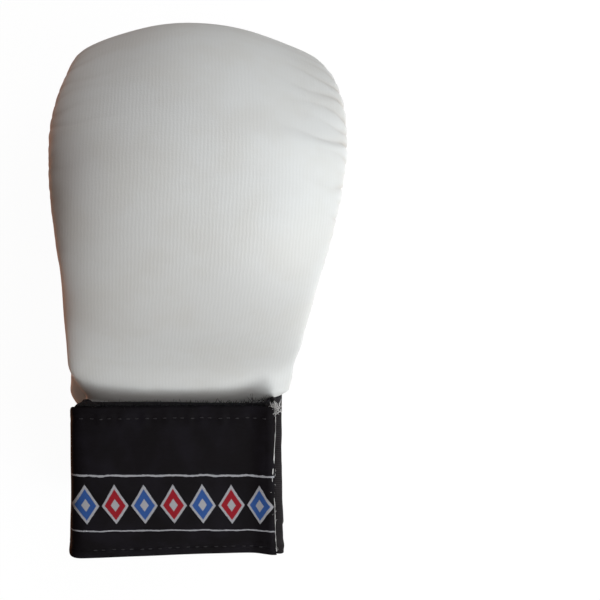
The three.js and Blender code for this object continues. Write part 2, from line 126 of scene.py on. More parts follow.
def catmull_rom(values: Array, at: Array | float, closed: bool = False) -> Array:
    """Values at broken places along an even row of them, on a Catmull-Rom curve.

    Args:
        values: the row of numbers.
        at: places, where 0 is the first number.
        closed: True where the last number is followed by the first.

    Returns:
        The numbers at those places.
    """
    count = len(values)
    if closed:
        padded = np.concatenate((values[-1:], values, values[:2]))
        place = np.mod(at, count)
        i = np.minimum(np.floor(place).astype(int), count - 1)
    else:
        first, last = 2 * values[0] - values[1], 2 * values[-1] - values[-2]
        padded = np.concatenate(([first], values, [last]))
        place = np.clip(at, 0, count - 1)
        i = np.minimum(np.floor(place).astype(int), count - 2)
    before, a, b, after = (padded[i + step] for step in range(4))
    f = place - i
    bend = 2 * before - 5 * a + 4 * b - after + f * (3 * (a - b) + after - before)
    return a + 0.5 * f * (b - before + f * bend)


def smoothstep(value: Array | float, low: float, high: float) -> Array:
    """0 below low, 1 above high and a soft step between."""
    t = np.clip((np.asarray(value, float) - low) / (high - low), 0, 1)
    return t * t * (3 - 2 * t)


def mix(a: Array | float, b: Array | float, share: Array | float) -> Array:
    """From a, at share 0, to b, at share 1."""
    return a + (b - a) * share


def unit(vectors: Array) -> Array:
    """Vectors brought to length 1."""
    return vectors / np.maximum(np.linalg.norm(vectors, axis=-1, keepdims=True), 1e-9)


def bump(distance: Array, width: float) -> Array:
    """A soft hump of height 1 over distance 0."""
    return np.exp(-((distance / width) ** 2))


def run_length(path: Array) -> Array:
    """The length of a path up to each of its points."""
    return np.concatenate([[0.0], np.linalg.norm(np.diff(path, axis=0), axis=1).cumsum()])


def rounding(distance: Array, radius: float) -> Array:
    """How far a rounded edge lies under its face, at a distance from the edge."""
    k = np.clip(1 - distance / radius, 0, 1)
    return radius * (1 - np.sqrt(1 - k * k))


def waves(u: Array, v: Array, seed: int, shortest: float, longest: float, count: int = 9) -> Array:
    """A smooth uneven field of crossing waves, about -1 to 1, the same on every run.

    Args:
        u: first coordinate.
        v: second coordinate.
        seed: which field.
        shortest: the shortest wave.
        longest: the longest wave.
        count: how many waves cross.

    Returns:
        The field's height at each place.
    """
    random = np.random.default_rng(seed)
    total = np.zeros(np.broadcast(u, v).shape)
    for _ in range(count):
        angle, phase = random.uniform(0, np.pi), random.uniform(0, TAU)
        length = random.uniform(shortest, longest)
        along = u * np.cos(angle) + v * np.sin(angle)
        total = total + np.sin(TAU * along / length + phase)
    return total / np.sqrt(2 * count)


# The first and last seam rows, and how long one row is on the skin, about.
FIRST_ROW = -2.0
SEAM_END = 17.0
ROW_LENGTH = 11.5

# The right side seam, where the skin meets the sleeve; half is half the way to the left seam.
SEAM = Table(
    "y z half lean slew",
    (
        (-54.0, 32.3, 36.3, -9.7, 0.0),
        (-43.2, 33.9, 38.2, -8.9, 0.0),
        (-37.5, 35.6, 43.0, -5.9, 0.0),
        (-26.6, 44.1, 42.5, -5.6, 0.0),
        (-14.2, 55.0, 43.0, -5.1, 0.5),
        (-2.9, 65.0, 43.0, -4.4, 1.2),
        (8.1, 73.5, 43.0, -3.8, 1.9),
        (18.7, 80.6, 43.5, -3.0, 2.6),
        (30.0, 84.5, 44.0, -2.1, 3.1),
        (40.9, 84.2, 44.5, -1.3, 3.4),
        (51.2, 80.4, 45.5, -0.5, 3.4),
        (61.3, 74.6, 46.0, 0.0, 3.4),
        (71.2, 66.7, 46.0, 0.3, 3.2),
        (77.8, 58.0, 45.5, 0.5, 2.8),
        (82.9, 47.6, 44.5, 0.6, 2.2),
        (86.7, 36.3, 43.0, 0.6, 1.6),
        (90.0, 24.9, 41.0, 0.6, 1.0),
        (92.9, 14.7, 38.5, 0.6, 0.5),
        (94.6, 7.0, 35.5, 0.6, 0.2),
        (93.9, 2.3, 32.0, 0.6, 0.0),
    ),
)

# The pad's crown line, half width, squareness and inner height; seam is the row it grows from.
CROWN = Table(
    "seam y z half square core",
    (
        (-2.0, -54.6, 37.6, 36.8, 2.6, 0.0),
        (-1.0, -44.0, 44.1, 40.4, 2.6, 0.0),
        (0.0, -38.8, 47.3, 46.2, 2.6, 0.0),
        (1.15, -29.5, 53.4, 47.4, 2.5, 0.5),
        (2.3, -18.6, 68.9, 47.7, 2.5, 2.0),
        (3.5, -9.5, 82.4, 48.2, 2.4, 4.0),
        (4.7, 3.0, 96.0, 48.9, 2.4, 6.0),
        (5.57, 17.4, 107.4, 50.1, 2.3, 8.0),
        (6.31, 31.4, 114.2, 51.7, 2.2, 9.5),
        (7.05, 44.5, 116.2, 53.3, 2.2, 10.5),
        (7.79, 60.5, 114.3, 54.8, 2.1, 11.0),
        (8.54, 73.5, 107.8, 55.7, 2.0, 11.0),
        (9.28, 87.3, 97.3, 55.2, 2.0, 10.5),
        (10.02, 98.6, 83.0, 53.6, 2.0, 8.5),
        (10.8, 106.8, 64.5, 52.0, 2.0, 6.0),
        (12.2, 109.9, 44.9, 50.0, 2.1, 2.5),
        (13.6, 108.3, 27.6, 47.5, 2.2, 0.5),
        (15.0, 104.8, 13.3, 44.0, 2.4, -0.5),
        (16.1, 100.2, 4.9, 39.5, 2.6, -0.5),
        (17.0, 96.0, 0.6, 34.0, 2.8, -0.5),
    ),
)

# The palm line of the sleeve, and how far its right and left sides belly out.
PALM = Table(
    "y z right left",
    (
        (-54.5, 14.2, 4.5, 2.5),
        (-46.0, 15.8, 3.0, 9.5),
        (-36.8, 16.6, 2.5, 7.5),
        (-27.7, 12.7, 4.0, 6.5),
        (-19.7, 19.3, 3.5, 4.5),
        (-11.0, 25.9, 3.0, 3.0),
        (1.0, 32.7, 2.0, 2.0),
        (15.0, 36.5, 1.0, 1.0),
        (25.5, 38.2, 0.5, 0.5),
        (33.9, 36.7, 0.0, 0.0),
        (41.4, 33.6, 0.0, 0.0),
        (47.5, 30.3, 0.0, 0.0),
        (53.2, 26.1, 0.0, 0.0),
        (58.3, 21.2, 0.0, 0.0),
        (62.9, 16.1, 0.0, 0.0),
        (67.4, 11.0, 0.0, 0.0),
        (73.6, 4.3, 0.0, 0.0),
        (79.5, 0.5, 0.0, 0.0),
    ),
)

# The gathers: seam row of each, how far up the side it runs, its depth on the right and left,
# how many rows its outer end stands off, and how much its two sides differ in steepness.
GATHERS = Table(
    "at reach right left drift skew",
    (
        (5.25, 0.35, 1.1, 1.5, -0.5, 0.1),
        (5.55, 0.45, 1.5, 1.1, -0.3, -0.2),
        (5.85, 0.4, 1.2, 1.6, 0.1, 0.2),
        (6.15, 0.4, 1.4, 1.2, 0.2, -0.1),
        (6.5, 0.55, 2.0, 2.2, 0.2, 0.2),
        (6.85, 0.5, 1.4, 1.4, 0.2, -0.2),
        (7.2, 0.75, 2.2, 1.8, 0.2, 0.2),
        (7.6, 0.5, 1.4, 2.0, 0.1, 0.0),
        (7.95, 0.7, 1.8, 1.4, 0.1, -0.2),
        (8.35, 0.95, 2.6, 2.2, 0.0, 0.3),
        (8.75, 0.75, 1.8, 2.4, 0.0, -0.1),
        (9.1, 0.85, 2.0, 1.6, 0.0, 0.2),
        (9.5, 0.9, 2.4, 2.2, 0.0, 0.2),
        (9.95, 0.85, 2.4, 2.6, 0.1, 0.1),
        (10.4, 0.8, 1.8, 1.6, 0.1, -0.2),
        (10.85, 0.95, 2.8, 2.4, 0.2, 0.4),
        (11.7, 0.6, 1.4, 1.8, 0.3, 0.1),
    ),
)

# Where the sleeve's pieces end on its right half: angle round the sleeve, and seam rows.
RIGHT_EDGES = (
    (0, 12.9, 14.5, 6.5, 9.9, 5.4),
    (16, 11.68, 14.45, 6.5, 9.9, 5.85),
    (32, 10.2, 14.35, 6.4, 9.8, 6.3),
    (60, 9.58, 14.15, 5.95, 8.8, 5.9),
    (90, 9.12, 14.0, 5.8, 8.65, 5.75),
)
STRAP_EDGES = Table(
    "angle finger_low finger_high palm_low palm_high heel_high",
    RIGHT_EDGES + tuple((180 - angle, *rows) for angle, *rows in RIGHT_EDGES[-2::-1]),
)

# The angle of the side panels' hem over the palm strap, by seam row; and the other way round, for
# the straps that run on under it.
HEM = Table(
    "seam angle",
    ((5.5, 33), (6.6, 33), (8.3, 33), (10.2, 31), (11.4, 16), (12.3, 3.5)),
)
UNDER_HEM = Table("angle seam", ((0, 12.5), (3.5, 12.3), (16, 11.4), (31, 10.2), (33, 8.6)))

# The cuff's loop: offset from its middle line, height over its palm side, extra length at the
# free end, and dip of the rim at the hand.
CUFF_LOOP = Table(
    "x h longer lower",
    (
        (0, 0, 0, 0),
        (28, 0, 0, 0),
        (38.5, 2, 1.0, 0),
        (43.4, 7.2, 3.6, 1.8),
        (44.6, 13.5, 5.2, 2.2),
        (42.9, 19.5, 3.0, 2.2),
        (40.1, 24.3, 0.8, 1.6),
        (38.6, 30, -0.4, 0.8),
        (35.2, 36.4, -0.5, 0),
        (0, 36.6, 0.3, 0),
        (-34, 36.4, 1.3, 0),
        (-41.8, 35.3, 1.8, 0),
        (-43.5, 30, 2.4, 4),
        (-44.1, 22, 3.0, 8),
        (-43.9, 13.5, 5.0, 9),
        (-42.2, 6.4, 3.0, 8),
        (-37.4, 1.6, 0.8, 5),
        (-28, 0, 0, 2),
    ),
)
# The height that the cuff's two lines below belong to, how far it leans left, and its length.
CUFF_LOOP_HEIGHT = 38.6
CUFF_LEAN = -8.1
CUFF_LENGTH = 66.0
# The cuff's palm line and back line, its widening, and the shares of the two table columns.
CUFF_ROWS = Table(
    "y z back_y back_z wide end rim",
    (
        (-38.3, 13.5, -44.5, 51.6, 1.0, 0, 1),
        (-60.0, 8.1, -66.2, 49.6, 1.005, 0, 0.3),
        (-75.0, 3.4, -86.2, 47.2, 1.015, 0.15, 0),
        (-85.8, 0.0, -101.8, 45.3, 1.03, 0.6, 0),
        (-92.2, 0.0, -109.9, 44.3, 1.045, 1, 0),
    ),
)

# The folded ends of the loop: up from the valley in its side, and over the top to the label.
SEAM_LINE = Table(
    "x h",
    (
        (39.8, 25.4),
        (40.7, 29.6),
        (41.5, 33.6),
        (42.5, 37.0),
        (42.4, 38.7),
        (41.0, 39.3),
        (38.4, 38.9),
        (35.4, 38.0),
    ),
)

# The label's line over the back of the cuff, from the standing seam to the left edge.
LABEL_LINE = Table(
    "x h longer lower",
    (
        (39.3, 38.8, -0.6, 0),
        (37.3, 38.8, -0.6, 0),
        (35.0, 38.2, -0.5, 0),
        (29.0, 37.0, -0.3, 0),
        (15.0, 36.7, 0.0, 0),
        (0, 36.6, 0.3, 0),
        (-17, 36.5, 0.8, 0),
        (-34, 36.4, 1.3, 0),
        (-41.6, 35.3, 1.8, 0),
        (-43.3, 31.0, 2.3, 3.0),
    ),
)

# The finger roll's outline from the side, from the floor upwards.
ROLL_BACK = Table(
    "y z",
    (
        (93.2, 0),
        (86.5, 0),
        (80.6, 2.0),
        (77.3, 6.4),
        (75.7, 11.5),
        (76.6, 17.5),
        (80.0, 22.5),
        (84.0, 26.0),
    ),
)


class GloveForm:
    """The glove's surfaces: the pad's skin, its face to the hand, and the sleeve's tube."""

    seam_allowance: ClassVar[float] = 3.0
    widest_level: ClassVar[tuple[float, float]] = (0.22, 0.36)
    widest_share: ClassVar[float] = 0.8
    squareness: ClassVar[float] = 3.0
    # What the half width changes by: drawn in at the rim on the left, flared over it on the
    # right and drawn in above it, and narrower at the finger end on the left. Then the share by
    # which the finger end's corners are rounded off.
    wrist_pinch: ClassVar[float] = 3.2
    rim_flare: ClassVar[float] = 3.2
    rim_waist: ClassVar[float] = 1.6
    finger_slant: ClassVar[float] = 3.6
    shoulder: ClassVar[float] = 0.095

    @dataclass
    class Section:
        """A slice of the pad: its middle, its two directions, half width and depth."""

        middle: Array
        across: Array
        up: Array
        half: Array
        depth: Array

        def point(self, x: Array, height: Array) -> Array:
            """A point of the slice, x across from its middle and at a height."""
            return self.middle + self.up * height[..., None] + self.across * x[..., None]

    def seam(self, name: str, row: Array) -> Array:
        """A column of the seam table at a seam row."""
        return SEAM.smooth(name, row - FIRST_ROW)

    def crown(self, name: str, row: Array) -> Array:
        """A column of the crown table at a crown row."""
        return CROWN.smooth(name, row - FIRST_ROW)

    def crown_row(self, seam_row: Array) -> Array:
        """The crown row whose slice grows from each seam row.

        Args:
            seam_row: rows of the seam table.

        Returns:
            The crown rows.
        """
        low = np.full(np.shape(seam_row), FIRST_ROW)
        high = low + len(CROWN.rows) - 1
        for _ in range(30):
            middle = (low + high) / 2
            under = self.crown("seam", middle) < seam_row
            low, high = np.where(under, middle, low), np.where(under, high, middle)
        return (low + high) / 2

    def seam_frame(self, seam_row: Array) -> tuple[Array, Array, Array]:
        """The middle between the side seams, the direction across, and half the width.

        Args:
            seam_row: rows of the seam table.

        Returns:
            The middle, the direction and half the width.
        """
        slew = np.radians(self.seam("slew", seam_row))
        half = self.seam("half", seam_row)
        across = np.stack([np.cos(slew), -np.sin(slew), 0 * slew], -1)
        y = self.seam("y", seam_row) + half * np.sin(slew)
        middle = np.stack([self.seam("lean", seam_row), y, self.seam("z", seam_row)], -1)
        return middle, across, half

    def section(self, seam_row: Array) -> tuple["GloveForm.Section", Array]:
        """The pad's slice from a seam row, and its crown row.

        Args:
            seam_row: rows of the seam table.

        Returns:
            The slice and its crown row.
        """
        row = self.crown_row(seam_row)
        middle, across, half = self.seam_frame(self.crown("seam", row))
        crown = np.stack([middle[..., 0], self.crown("y", row), self.crown("z", row)], -1)
        rise = crown - middle
        depth = np.linalg.norm(rise, axis=-1)
        return self.Section(middle, across, unit(rise), half, depth), row

    def half_width(self, seam_row: Array, row: Array, side: Array) -> Array:
        """The skin's half width, with what the photo shows beside the crown table.

        Args:
            seam_row: row of the seam table.
            row: the crown row that belongs to it.
            side: -1 on the left, 1 on the right.

        Returns:
            The half width.
        """
        rise = smoothstep(seam_row, -1.3, -0.95)
        pinch = self.wrist_pinch * rise * (1 - smoothstep(seam_row, -0.3, 1.1))
        slant = self.finger_slant * smoothstep(seam_row, 6.5, 10.5)
        over_rim = smoothstep(seam_row, -1.06, -0.92) * (1 - smoothstep(seam_row, -0.75, 0.0))
        above_rim = smoothstep(seam_row, -0.6, 0.3) * (1 - smoothstep(seam_row, 1.0, 2.0))
        right = self.rim_flare * over_rim - self.rim_waist * above_rim + bump(seam_row - 10.3, 1.0)
        return self.crown("half", row) + np.where(side < 0, -pinch - slant, right)

    def skin(self, seam_row: Array, across: Array, pull: Array, sag: Array) -> Array:
        """The pad's outer skin.

        Args:
            seam_row: row of the seam table.
            across: from the left seam, -1, over the crown, 0, to the right seam, 1.
            pull: how far the skin is drawn in there.
            sag: how far the ridges between the gathers hang over the seam.

        Returns:
            The points.
        """
        seam_row, across = np.broadcast_arrays(seam_row, across)
        slice_, row = self.section(seam_row)
        side, share = np.sign(across), np.abs(across)
        full = self.half_width(seam_row, row, side)
        puffed = smoothstep(seam_row, 3.0, 5.5) * (1 - smoothstep(seam_row, 11.8, 13.8))
        widest = mix(*self.widest_level, puffed) * slice_.depth
        under = share > self.widest_share
        lower = (share - self.widest_share) / (1 - self.widest_share)
        turn = np.where(under, lower, share / self.widest_share) * np.pi / 2
        sine, cosine = np.sin(turn), np.clip(np.cos(turn), 0, 1)
        power = 2 / self.crown("square", row)
        tucked = slice_.half + (full - slice_.half - pull * (1 - 0.6 * sine)) * cosine
        end = smoothstep(seam_row, 8.0, 10.0) * (1 - smoothstep(seam_row, 13.2, 15.0))
        round_off = 1 - self.shoulder * end * np.where(under, 0.0, np.sin(2 * turn) ** 2)
        domed = full * np.clip(sine, 0, 1) ** power * round_off - pull * sine
        low_height = widest * (1 - sine) - 2 * sag * sine * cosine
        high_height = widest + (slice_.depth - widest) * cosine**power * round_off - pull * cosine
        height = np.where(under, low_height, high_height)
        return slice_.point(side * np.where(under, tucked, domed), height)

    def core(self, seam_row: Array, across: Array, below: Array | float) -> Array:
        """The pad's face to the hand, or a layer that lies a depth below it.

        Args:
            seam_row: rows of the seam table.
            across: from the left side, -1, to the right side, 1.
            below: the layer's depth.

        Returns:
            The points.
        """
        seam_row, across = np.broadcast_arrays(seam_row, across)
        slice_, row = self.section(seam_row)
        half = slice_.half - self.seam_allowance - np.asarray(below) * 0.5
        return slice_.point(half * across, self.crown("core", row) * (1 - across**4) - below)

    def sleeve(self, seam_row: Array, angle: Array, depth: Array | float) -> Array:
        """The sleeve's tube.

        Args:
            seam_row: row of the seam table.
            angle: degrees from the right seam, 0, round the palm, 90, to the left seam, 180.
            depth: how far under the outer face.

        Returns:
            The points.
        """
        seam_row, angle, depth = np.broadcast_arrays(seam_row, angle, depth)
        middle, across, half = self.seam_frame(seam_row)
        at = seam_row - FIRST_ROW
        palm = np.stack([middle[..., 0], PALM.smooth("y", at), PALM.smooth("z", at)], -1)
        reach = palm - middle
        fall = np.linalg.norm(reach, axis=-1) - depth
        c, s = np.cos(np.radians(angle)), np.sin(np.radians(angle))
        power = self.squareness
        round_ = (np.abs(c) ** power + np.abs(s) ** power) ** (-1 / power)
        lean = smoothstep(angle, 80, 100)
        bulge = mix(PALM.smooth("right", at), PALM.smooth("left", at), lean)
        x = (half - depth) * round_ * c + bulge * np.sin(np.radians(2 * angle))
        return middle + unit(reach) * (fall * round_ * s)[..., None] + across * x[..., None]

    def cuff(self, along: Array, place: Array, lift: Array | float) -> Array:
        """The cuff's loop.

        Args:
            along: from the hand, 0, to the free end, 1.
            place: place on the loop, in rows of its table.
            lift: how far outside its outer face.

        Returns:
            The points.
        """
        along, place, lift = np.broadcast_arrays(along, place, lift)
        x, h, longer, lower = (
            catmull_rom(CUFF_LOOP.column(name), place, closed=True)
            for name in CUFF_LOOP.columns.split()
        )
        step = 0.02
        dx, dh = (
            catmull_rom(CUFF_LOOP.column(name), place + step, closed=True)
            - catmull_rom(CUFF_LOOP.column(name), place - step, closed=True)
            for name in ("x", "h")
        )
        length = np.maximum(np.hypot(dx, dh), 1e-9)
        x, h = x + lift * dh / length, h - lift * dx / length
        return self.cuff_offset(along, x, h, longer, lower)

    def cuff_offset(
        self, along: Array, x: Array, h: Array, longer: Array | float, lower: Array | float
    ) -> Array:
        """A point by its offset and height in the cuff's own frame.

        Args:
            along: from the hand, 0, to the free end, 1.
            x: offset from its middle line.
            h: height over its palm side.
            longer: extra length at the free end.
            lower: dip of the rim at the hand.

        Returns:
            The points.
        """
        row = {
            name: CUFF_ROWS.smooth(name, along * (len(CUFF_ROWS.rows) - 1))
            for name in CUFF_ROWS.columns.split()
        }
        rise = h / CUFF_LOOP_HEIGHT
        shift = longer * np.clip(row["end"], 0, 1) + lower * np.clip(row["rim"], 0, 1)
        y = mix(row["y"], row["back_y"], rise) - shift
        z = np.maximum(mix(row["z"], row["back_z"], rise), 0.0)
        return np.stack(np.broadcast_arrays(CUFF_LEAN + x * row["wide"], y, z), -1)


FORM = GloveForm()
# The lining's seam rows, its share of the pad's width, its depth under the pad's face and its
# thickness.
LINING_SPAN = (1.0, 13.4)
LINING_EDGE = 0.96
LINING_DEPTH = 0.5
LINING_THICKNESS = 1.6


class Placement:
    """Carries the source's millimetres to the frame's metres."""

    def __init__(self) -> None:
        """Finds the shift between the two from the lining's box."""
        # The seam rows and the shares of the width where the source's lining has its points.
        rows = [1, 2.1, 3.1, 4, 4.8, 5.5, 6.2, 6.9, 7.6, 8.3, 9, 9.8, 10.6, 11.5, 12.5, 13.4]
        grid = np.meshgrid(rows, np.array([-LINING_EDGE, -0.8, 0.8, LINING_EDGE]), indexing="ij")
        faces = (LINING_DEPTH, LINING_DEPTH + LINING_THICKNESS)
        points = np.concatenate([FORM.core(*grid, below).reshape(-1, 3) for below in faces])
        low, high = (np.array(corner) * 1000 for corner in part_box("lining"))
        self.shift = np.round((low + high - points.min(0) - points.max(0)) / 2, 2)
        self.shift[2] = 0.0

    def __call__(self, points: Array) -> Array:
        """Points in metres, in the frame."""
        return (points + self.shift) * 0.001


PLACE = Placement()

# ---------------------------------------------------------------------------------------------
# Meshes.
# ---------------------------------------------------------------------------------------------


class Slot(Enum):
    """The material slots of the record."""

    LEATHERETTE = "white_leatherette"
    LINING = "inner_lining"
    ELASTIC = "black_elastic"
    LABEL = "woven_label"


class SoftMesh:
    """Grids and tubes of points that make one mesh, with a cloth map in millimetres."""

    def __init__(self) -> None:
        """Starts empty."""
        self.points: list[Array] = []
        self.cloth: list[Array] = []
        self.folds: list[Array] = []
        self.faces: list[list[int]] = []
        self.count = 0

    def add(self, points: Array, cloth: Array, folds: Array | float = 0.0) -> Array:
        """Adds points with their cloth map and fold shade, and returns their numbers.

        Args:
            points: the points.
            cloth: their place on the cloth, in millimetres.
            folds: their fold shade, 0 to 1.

        Returns:
            Their numbers.
        """
        shape = points.shape[:-1]
        number = int(np.prod(shape))
        self.points.append(points.reshape(-1, 3))
        self.cloth.append(cloth.reshape(-1, 2))
        self.folds.append(np.broadcast_to(folds, shape).reshape(-1))
        numbers = np.arange(self.count, self.count + number).reshape(shape)
        self.count += number
        return numbers

    def tile(self, numbers: Array, flip: bool = False, loop: bool = False) -> None:
        """Covers a grid of point numbers with four-sided faces.

        Args:
            numbers: the grid.
            flip: True to turn the faces over.
            loop: True to join its last column to its first.
        """
        right = np.roll(numbers, -1, axis=1) if loop else numbers[:, 1:]
        left = numbers if loop else numbers[:, :-1]
        corners = [left[:-1], right[:-1], right[1:], left[1:]]
        quads = np.stack(corners[::-1] if flip else corners, -1).reshape(-1, 4)
        self.faces.extend(quads.tolist())

    def zip(self, one: Sequence[int], other: Sequence[int]) -> None:
        """Joins two lines of points with triangles, each point to the nearest of the other.

        Args:
            one: the numbers of the first line's points.
            other: the second line's.
        """
        points = np.concatenate(self.points)
        i = j = 0
        while i + 1 < len(one) or j + 1 < len(other):
            here, there = points[one[i]], points[other[j]]
            if j + 1 >= len(other):
                step = True
            elif i + 1 >= len(one):
                step = False
            else:
                ahead = np.linalg.norm(points[one[i + 1]] - there)
                step = bool(ahead <= np.linalg.norm(points[other[j + 1]] - here))
            tip = one[i + 1] if step else other[j + 1]
            self.faces.append([int(one[i]), int(other[j]), int(tip)])
            i, j = (i + 1, j) if step else (i, j + 1)

    def tube(self, path: Array, radius: Array | float, sides: int = 6) -> None:
        """Adds a closed tube along a path.

        Args:
            path: its points, in millimetres.
            radius: its radius, one for all or one for each point.
            sides: how many sides it has.
        """
        tangents = unit(np.gradient(path, axis=0))
        side = np.cross(tangents[0], [0.0, 0.0, 1.0])
        if np.linalg.norm(side) < 0.1:
            side = np.cross(tangents[0], [0.0, 1.0, 0.0])
        frames = []
        for tangent in tangents:
            side = unit(side - tangent * np.dot(side, tangent))
            frames.append((side, np.cross(tangent, side)))
        turn = np.linspace(0, TAU, sides, endpoint=False)
        radii = np.broadcast_to(radius, len(path))
        rings = np.stack(
            [
                point + size * (np.cos(turn)[:, None] * a + np.sin(turn)[:, None] * b)
                for point, size, (a, b) in zip(path, radii, frames)
            ]
        )
        around, run = turn[None] * radii[:, None], run_length(path)[:, None]
        cloth = np.stack(np.broadcast_arrays(around, run), -1)
        numbers = self.add(rings, cloth)
        self.tile(numbers, flip=True, loop=True)
        self.faces.append(numbers[0].tolist())
        self.faces.append(numbers[-1][::-1].tolist())

    def build(self, name: str, finish: "Finish", slot: Slot) -> bpy.types.Object:
        """Makes the Blender object, smooth and with its normals outwards.

        Args:
            name: the piece's name.
            finish: its material.
            slot: the record's slot that the finish stands for; not used.

        Returns:
            The object, riding on the glove's body.
        """
        points, cloth = np.concatenate(self.points), np.concatenate(self.cloth)
        used = np.zeros(len(points), bool)
        used[np.concatenate([np.asarray(face) for face in self.faces])] = True
        renumber = np.cumsum(used) - 1
        faces = [renumber[np.asarray(face)].tolist() for face in self.faces]
        points, cloth, folds = points[used], cloth[used], np.concatenate(self.folds)[used]
        if self.volume(points, faces) < 0:
            faces = [face[::-1] for face in faces]
        mesh = bpy.data.meshes.new(name)
        mesh.from_pydata(PLACE(points).tolist(), [], faces)
        corners = np.zeros(len(mesh.loops), int)
        mesh.loops.foreach_get("vertex_index", corners)
        uv, shade = mesh.uv_layers.new(name="cloth"), mesh.attributes.new("fold", "FLOAT", "POINT")
        uv.data.foreach_set("uv", cloth[corners].ravel().astype("f"))
        shade.data.foreach_set("value", folds.astype("f"))
        mesh.shade_smooth()
        mesh.materials.append(finish.material())
        piece = bpy.data.objects.new(name, mesh)
        bpy.context.scene.collection.objects.link(piece)
        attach(piece, "root")
        log.info("%s: %d points, %d faces", name, len(points), len(faces))
        return piece

    @staticmethod
    def volume(points: Array, faces: Sequence[Sequence[int]]) -> float:
        """Six times the volume inside the faces, negative where they point inwards.

        Args:
            points: the points.
            faces: the numbers of each face's points.

        Returns:
            That number.
        """
        second_halves = [[f[0], f[2], f[3]] for f in faces if len(f) == 4]
        corners = np.array([face[:3] for face in faces] + second_halves)
        a, b, c = (points[corners[:, k]] - points.mean(0) for k in range(3))
        return float((a * np.cross(b, c)).sum())


# ---------------------------------------------------------------------------------------------
# Finishes.
# ---------------------------------------------------------------------------------------------

Colour = tuple[float, float, float]
Paint = Colour | bpy.types.NodeSocket


def tinted(colour: Colour, *factors: float) -> Colour:
    """A colour times one factor, or one for each channel, and no brighter than white."""
    shares = factors * 3 if len(factors) == 1 else factors
    return tuple(min(channel * share, 1.0) for channel, share in zip(colour, shares))


class Signal:
    """A number that changes over a surface; arithmetic on it adds the Math nodes."""

    def __init__(self, graph: "ShaderGraph", socket: bpy.types.NodeSocket) -> None:
        """Wraps an output socket."""
        self.graph, self.socket = graph, socket

    def math(self, operation: str, *others: "Signal | float", swap: bool = False) -> "Signal":
        """Adds one Math node.

        Args:
            operation: Blender's name of it.
            others: its further values.
            swap: True to put this one second.

        Returns:
            What comes out.
        """
        values = [self, *others]
        if swap:
            values[:2] = values[1::-1]
        node = self.graph.add("ShaderNodeMath", {"operation": operation}, dict(enumerate(values)))
        return Signal(self.graph, node.outputs[0])

    def __add__(self, other: "Signal | float") -> "Signal":
        """Sum."""
        return self.math("ADD", other)

    def __sub__(self, other: "Signal | float") -> "Signal":
        """Difference."""
        return self.math("SUBTRACT", other)

    def __rsub__(self, other: "Signal | float") -> "Signal":
        """Difference from a number."""
        return self.math("SUBTRACT", other, swap=True)

    def __mul__(self, other: "Signal | float") -> "Signal":
        """Product."""
        return self.math("MULTIPLY", other)

    def __truediv__(self, other: "Signal | float") -> "Signal":
        """Quotient."""
        return self.math("DIVIDE", other)

    def __abs__(self) -> "Signal":
        """Size without its sign."""
        return self.math("ABSOLUTE")

    def sine(self) -> "Signal":
        """Its sine, in radians."""
        return self.math("SINE")

    def fraction(self) -> "Signal":
        """What is over the whole number below."""
        return self.math("FRACT")

    def ripple(self, period: float, shift: "Signal | None" = None) -> "Signal":
        """Soft waves along it, 0 to 1.

        Args:
            period: from wave to wave.
            shift: what moves the waves, in radians.

        Returns:
            The waves' height.
        """
        turn = self * (TAU / period)
        return (turn if shift is None else turn + shift).sine() * 0.5 + 0.5

    def step(self, low: float, high: float) -> "Signal":
        """A soft step from 0 at low to 1 at high, or down where low is the higher.

        Args:
            low: where it is 0.
            high: where it is 1.

        Returns:
            The step's height.
        """
        falls = low > high
        inputs = {
            "Value": self, "From Min": min(low, high), "From Max": max(low, high),
            "To Min": float(falls), "To Max": float(not falls),
        }
        node = self.graph.add("ShaderNodeMapRange", {"interpolation_type": "SMOOTHSTEP"}, inputs)
        return Signal(self.graph, node.outputs[0])


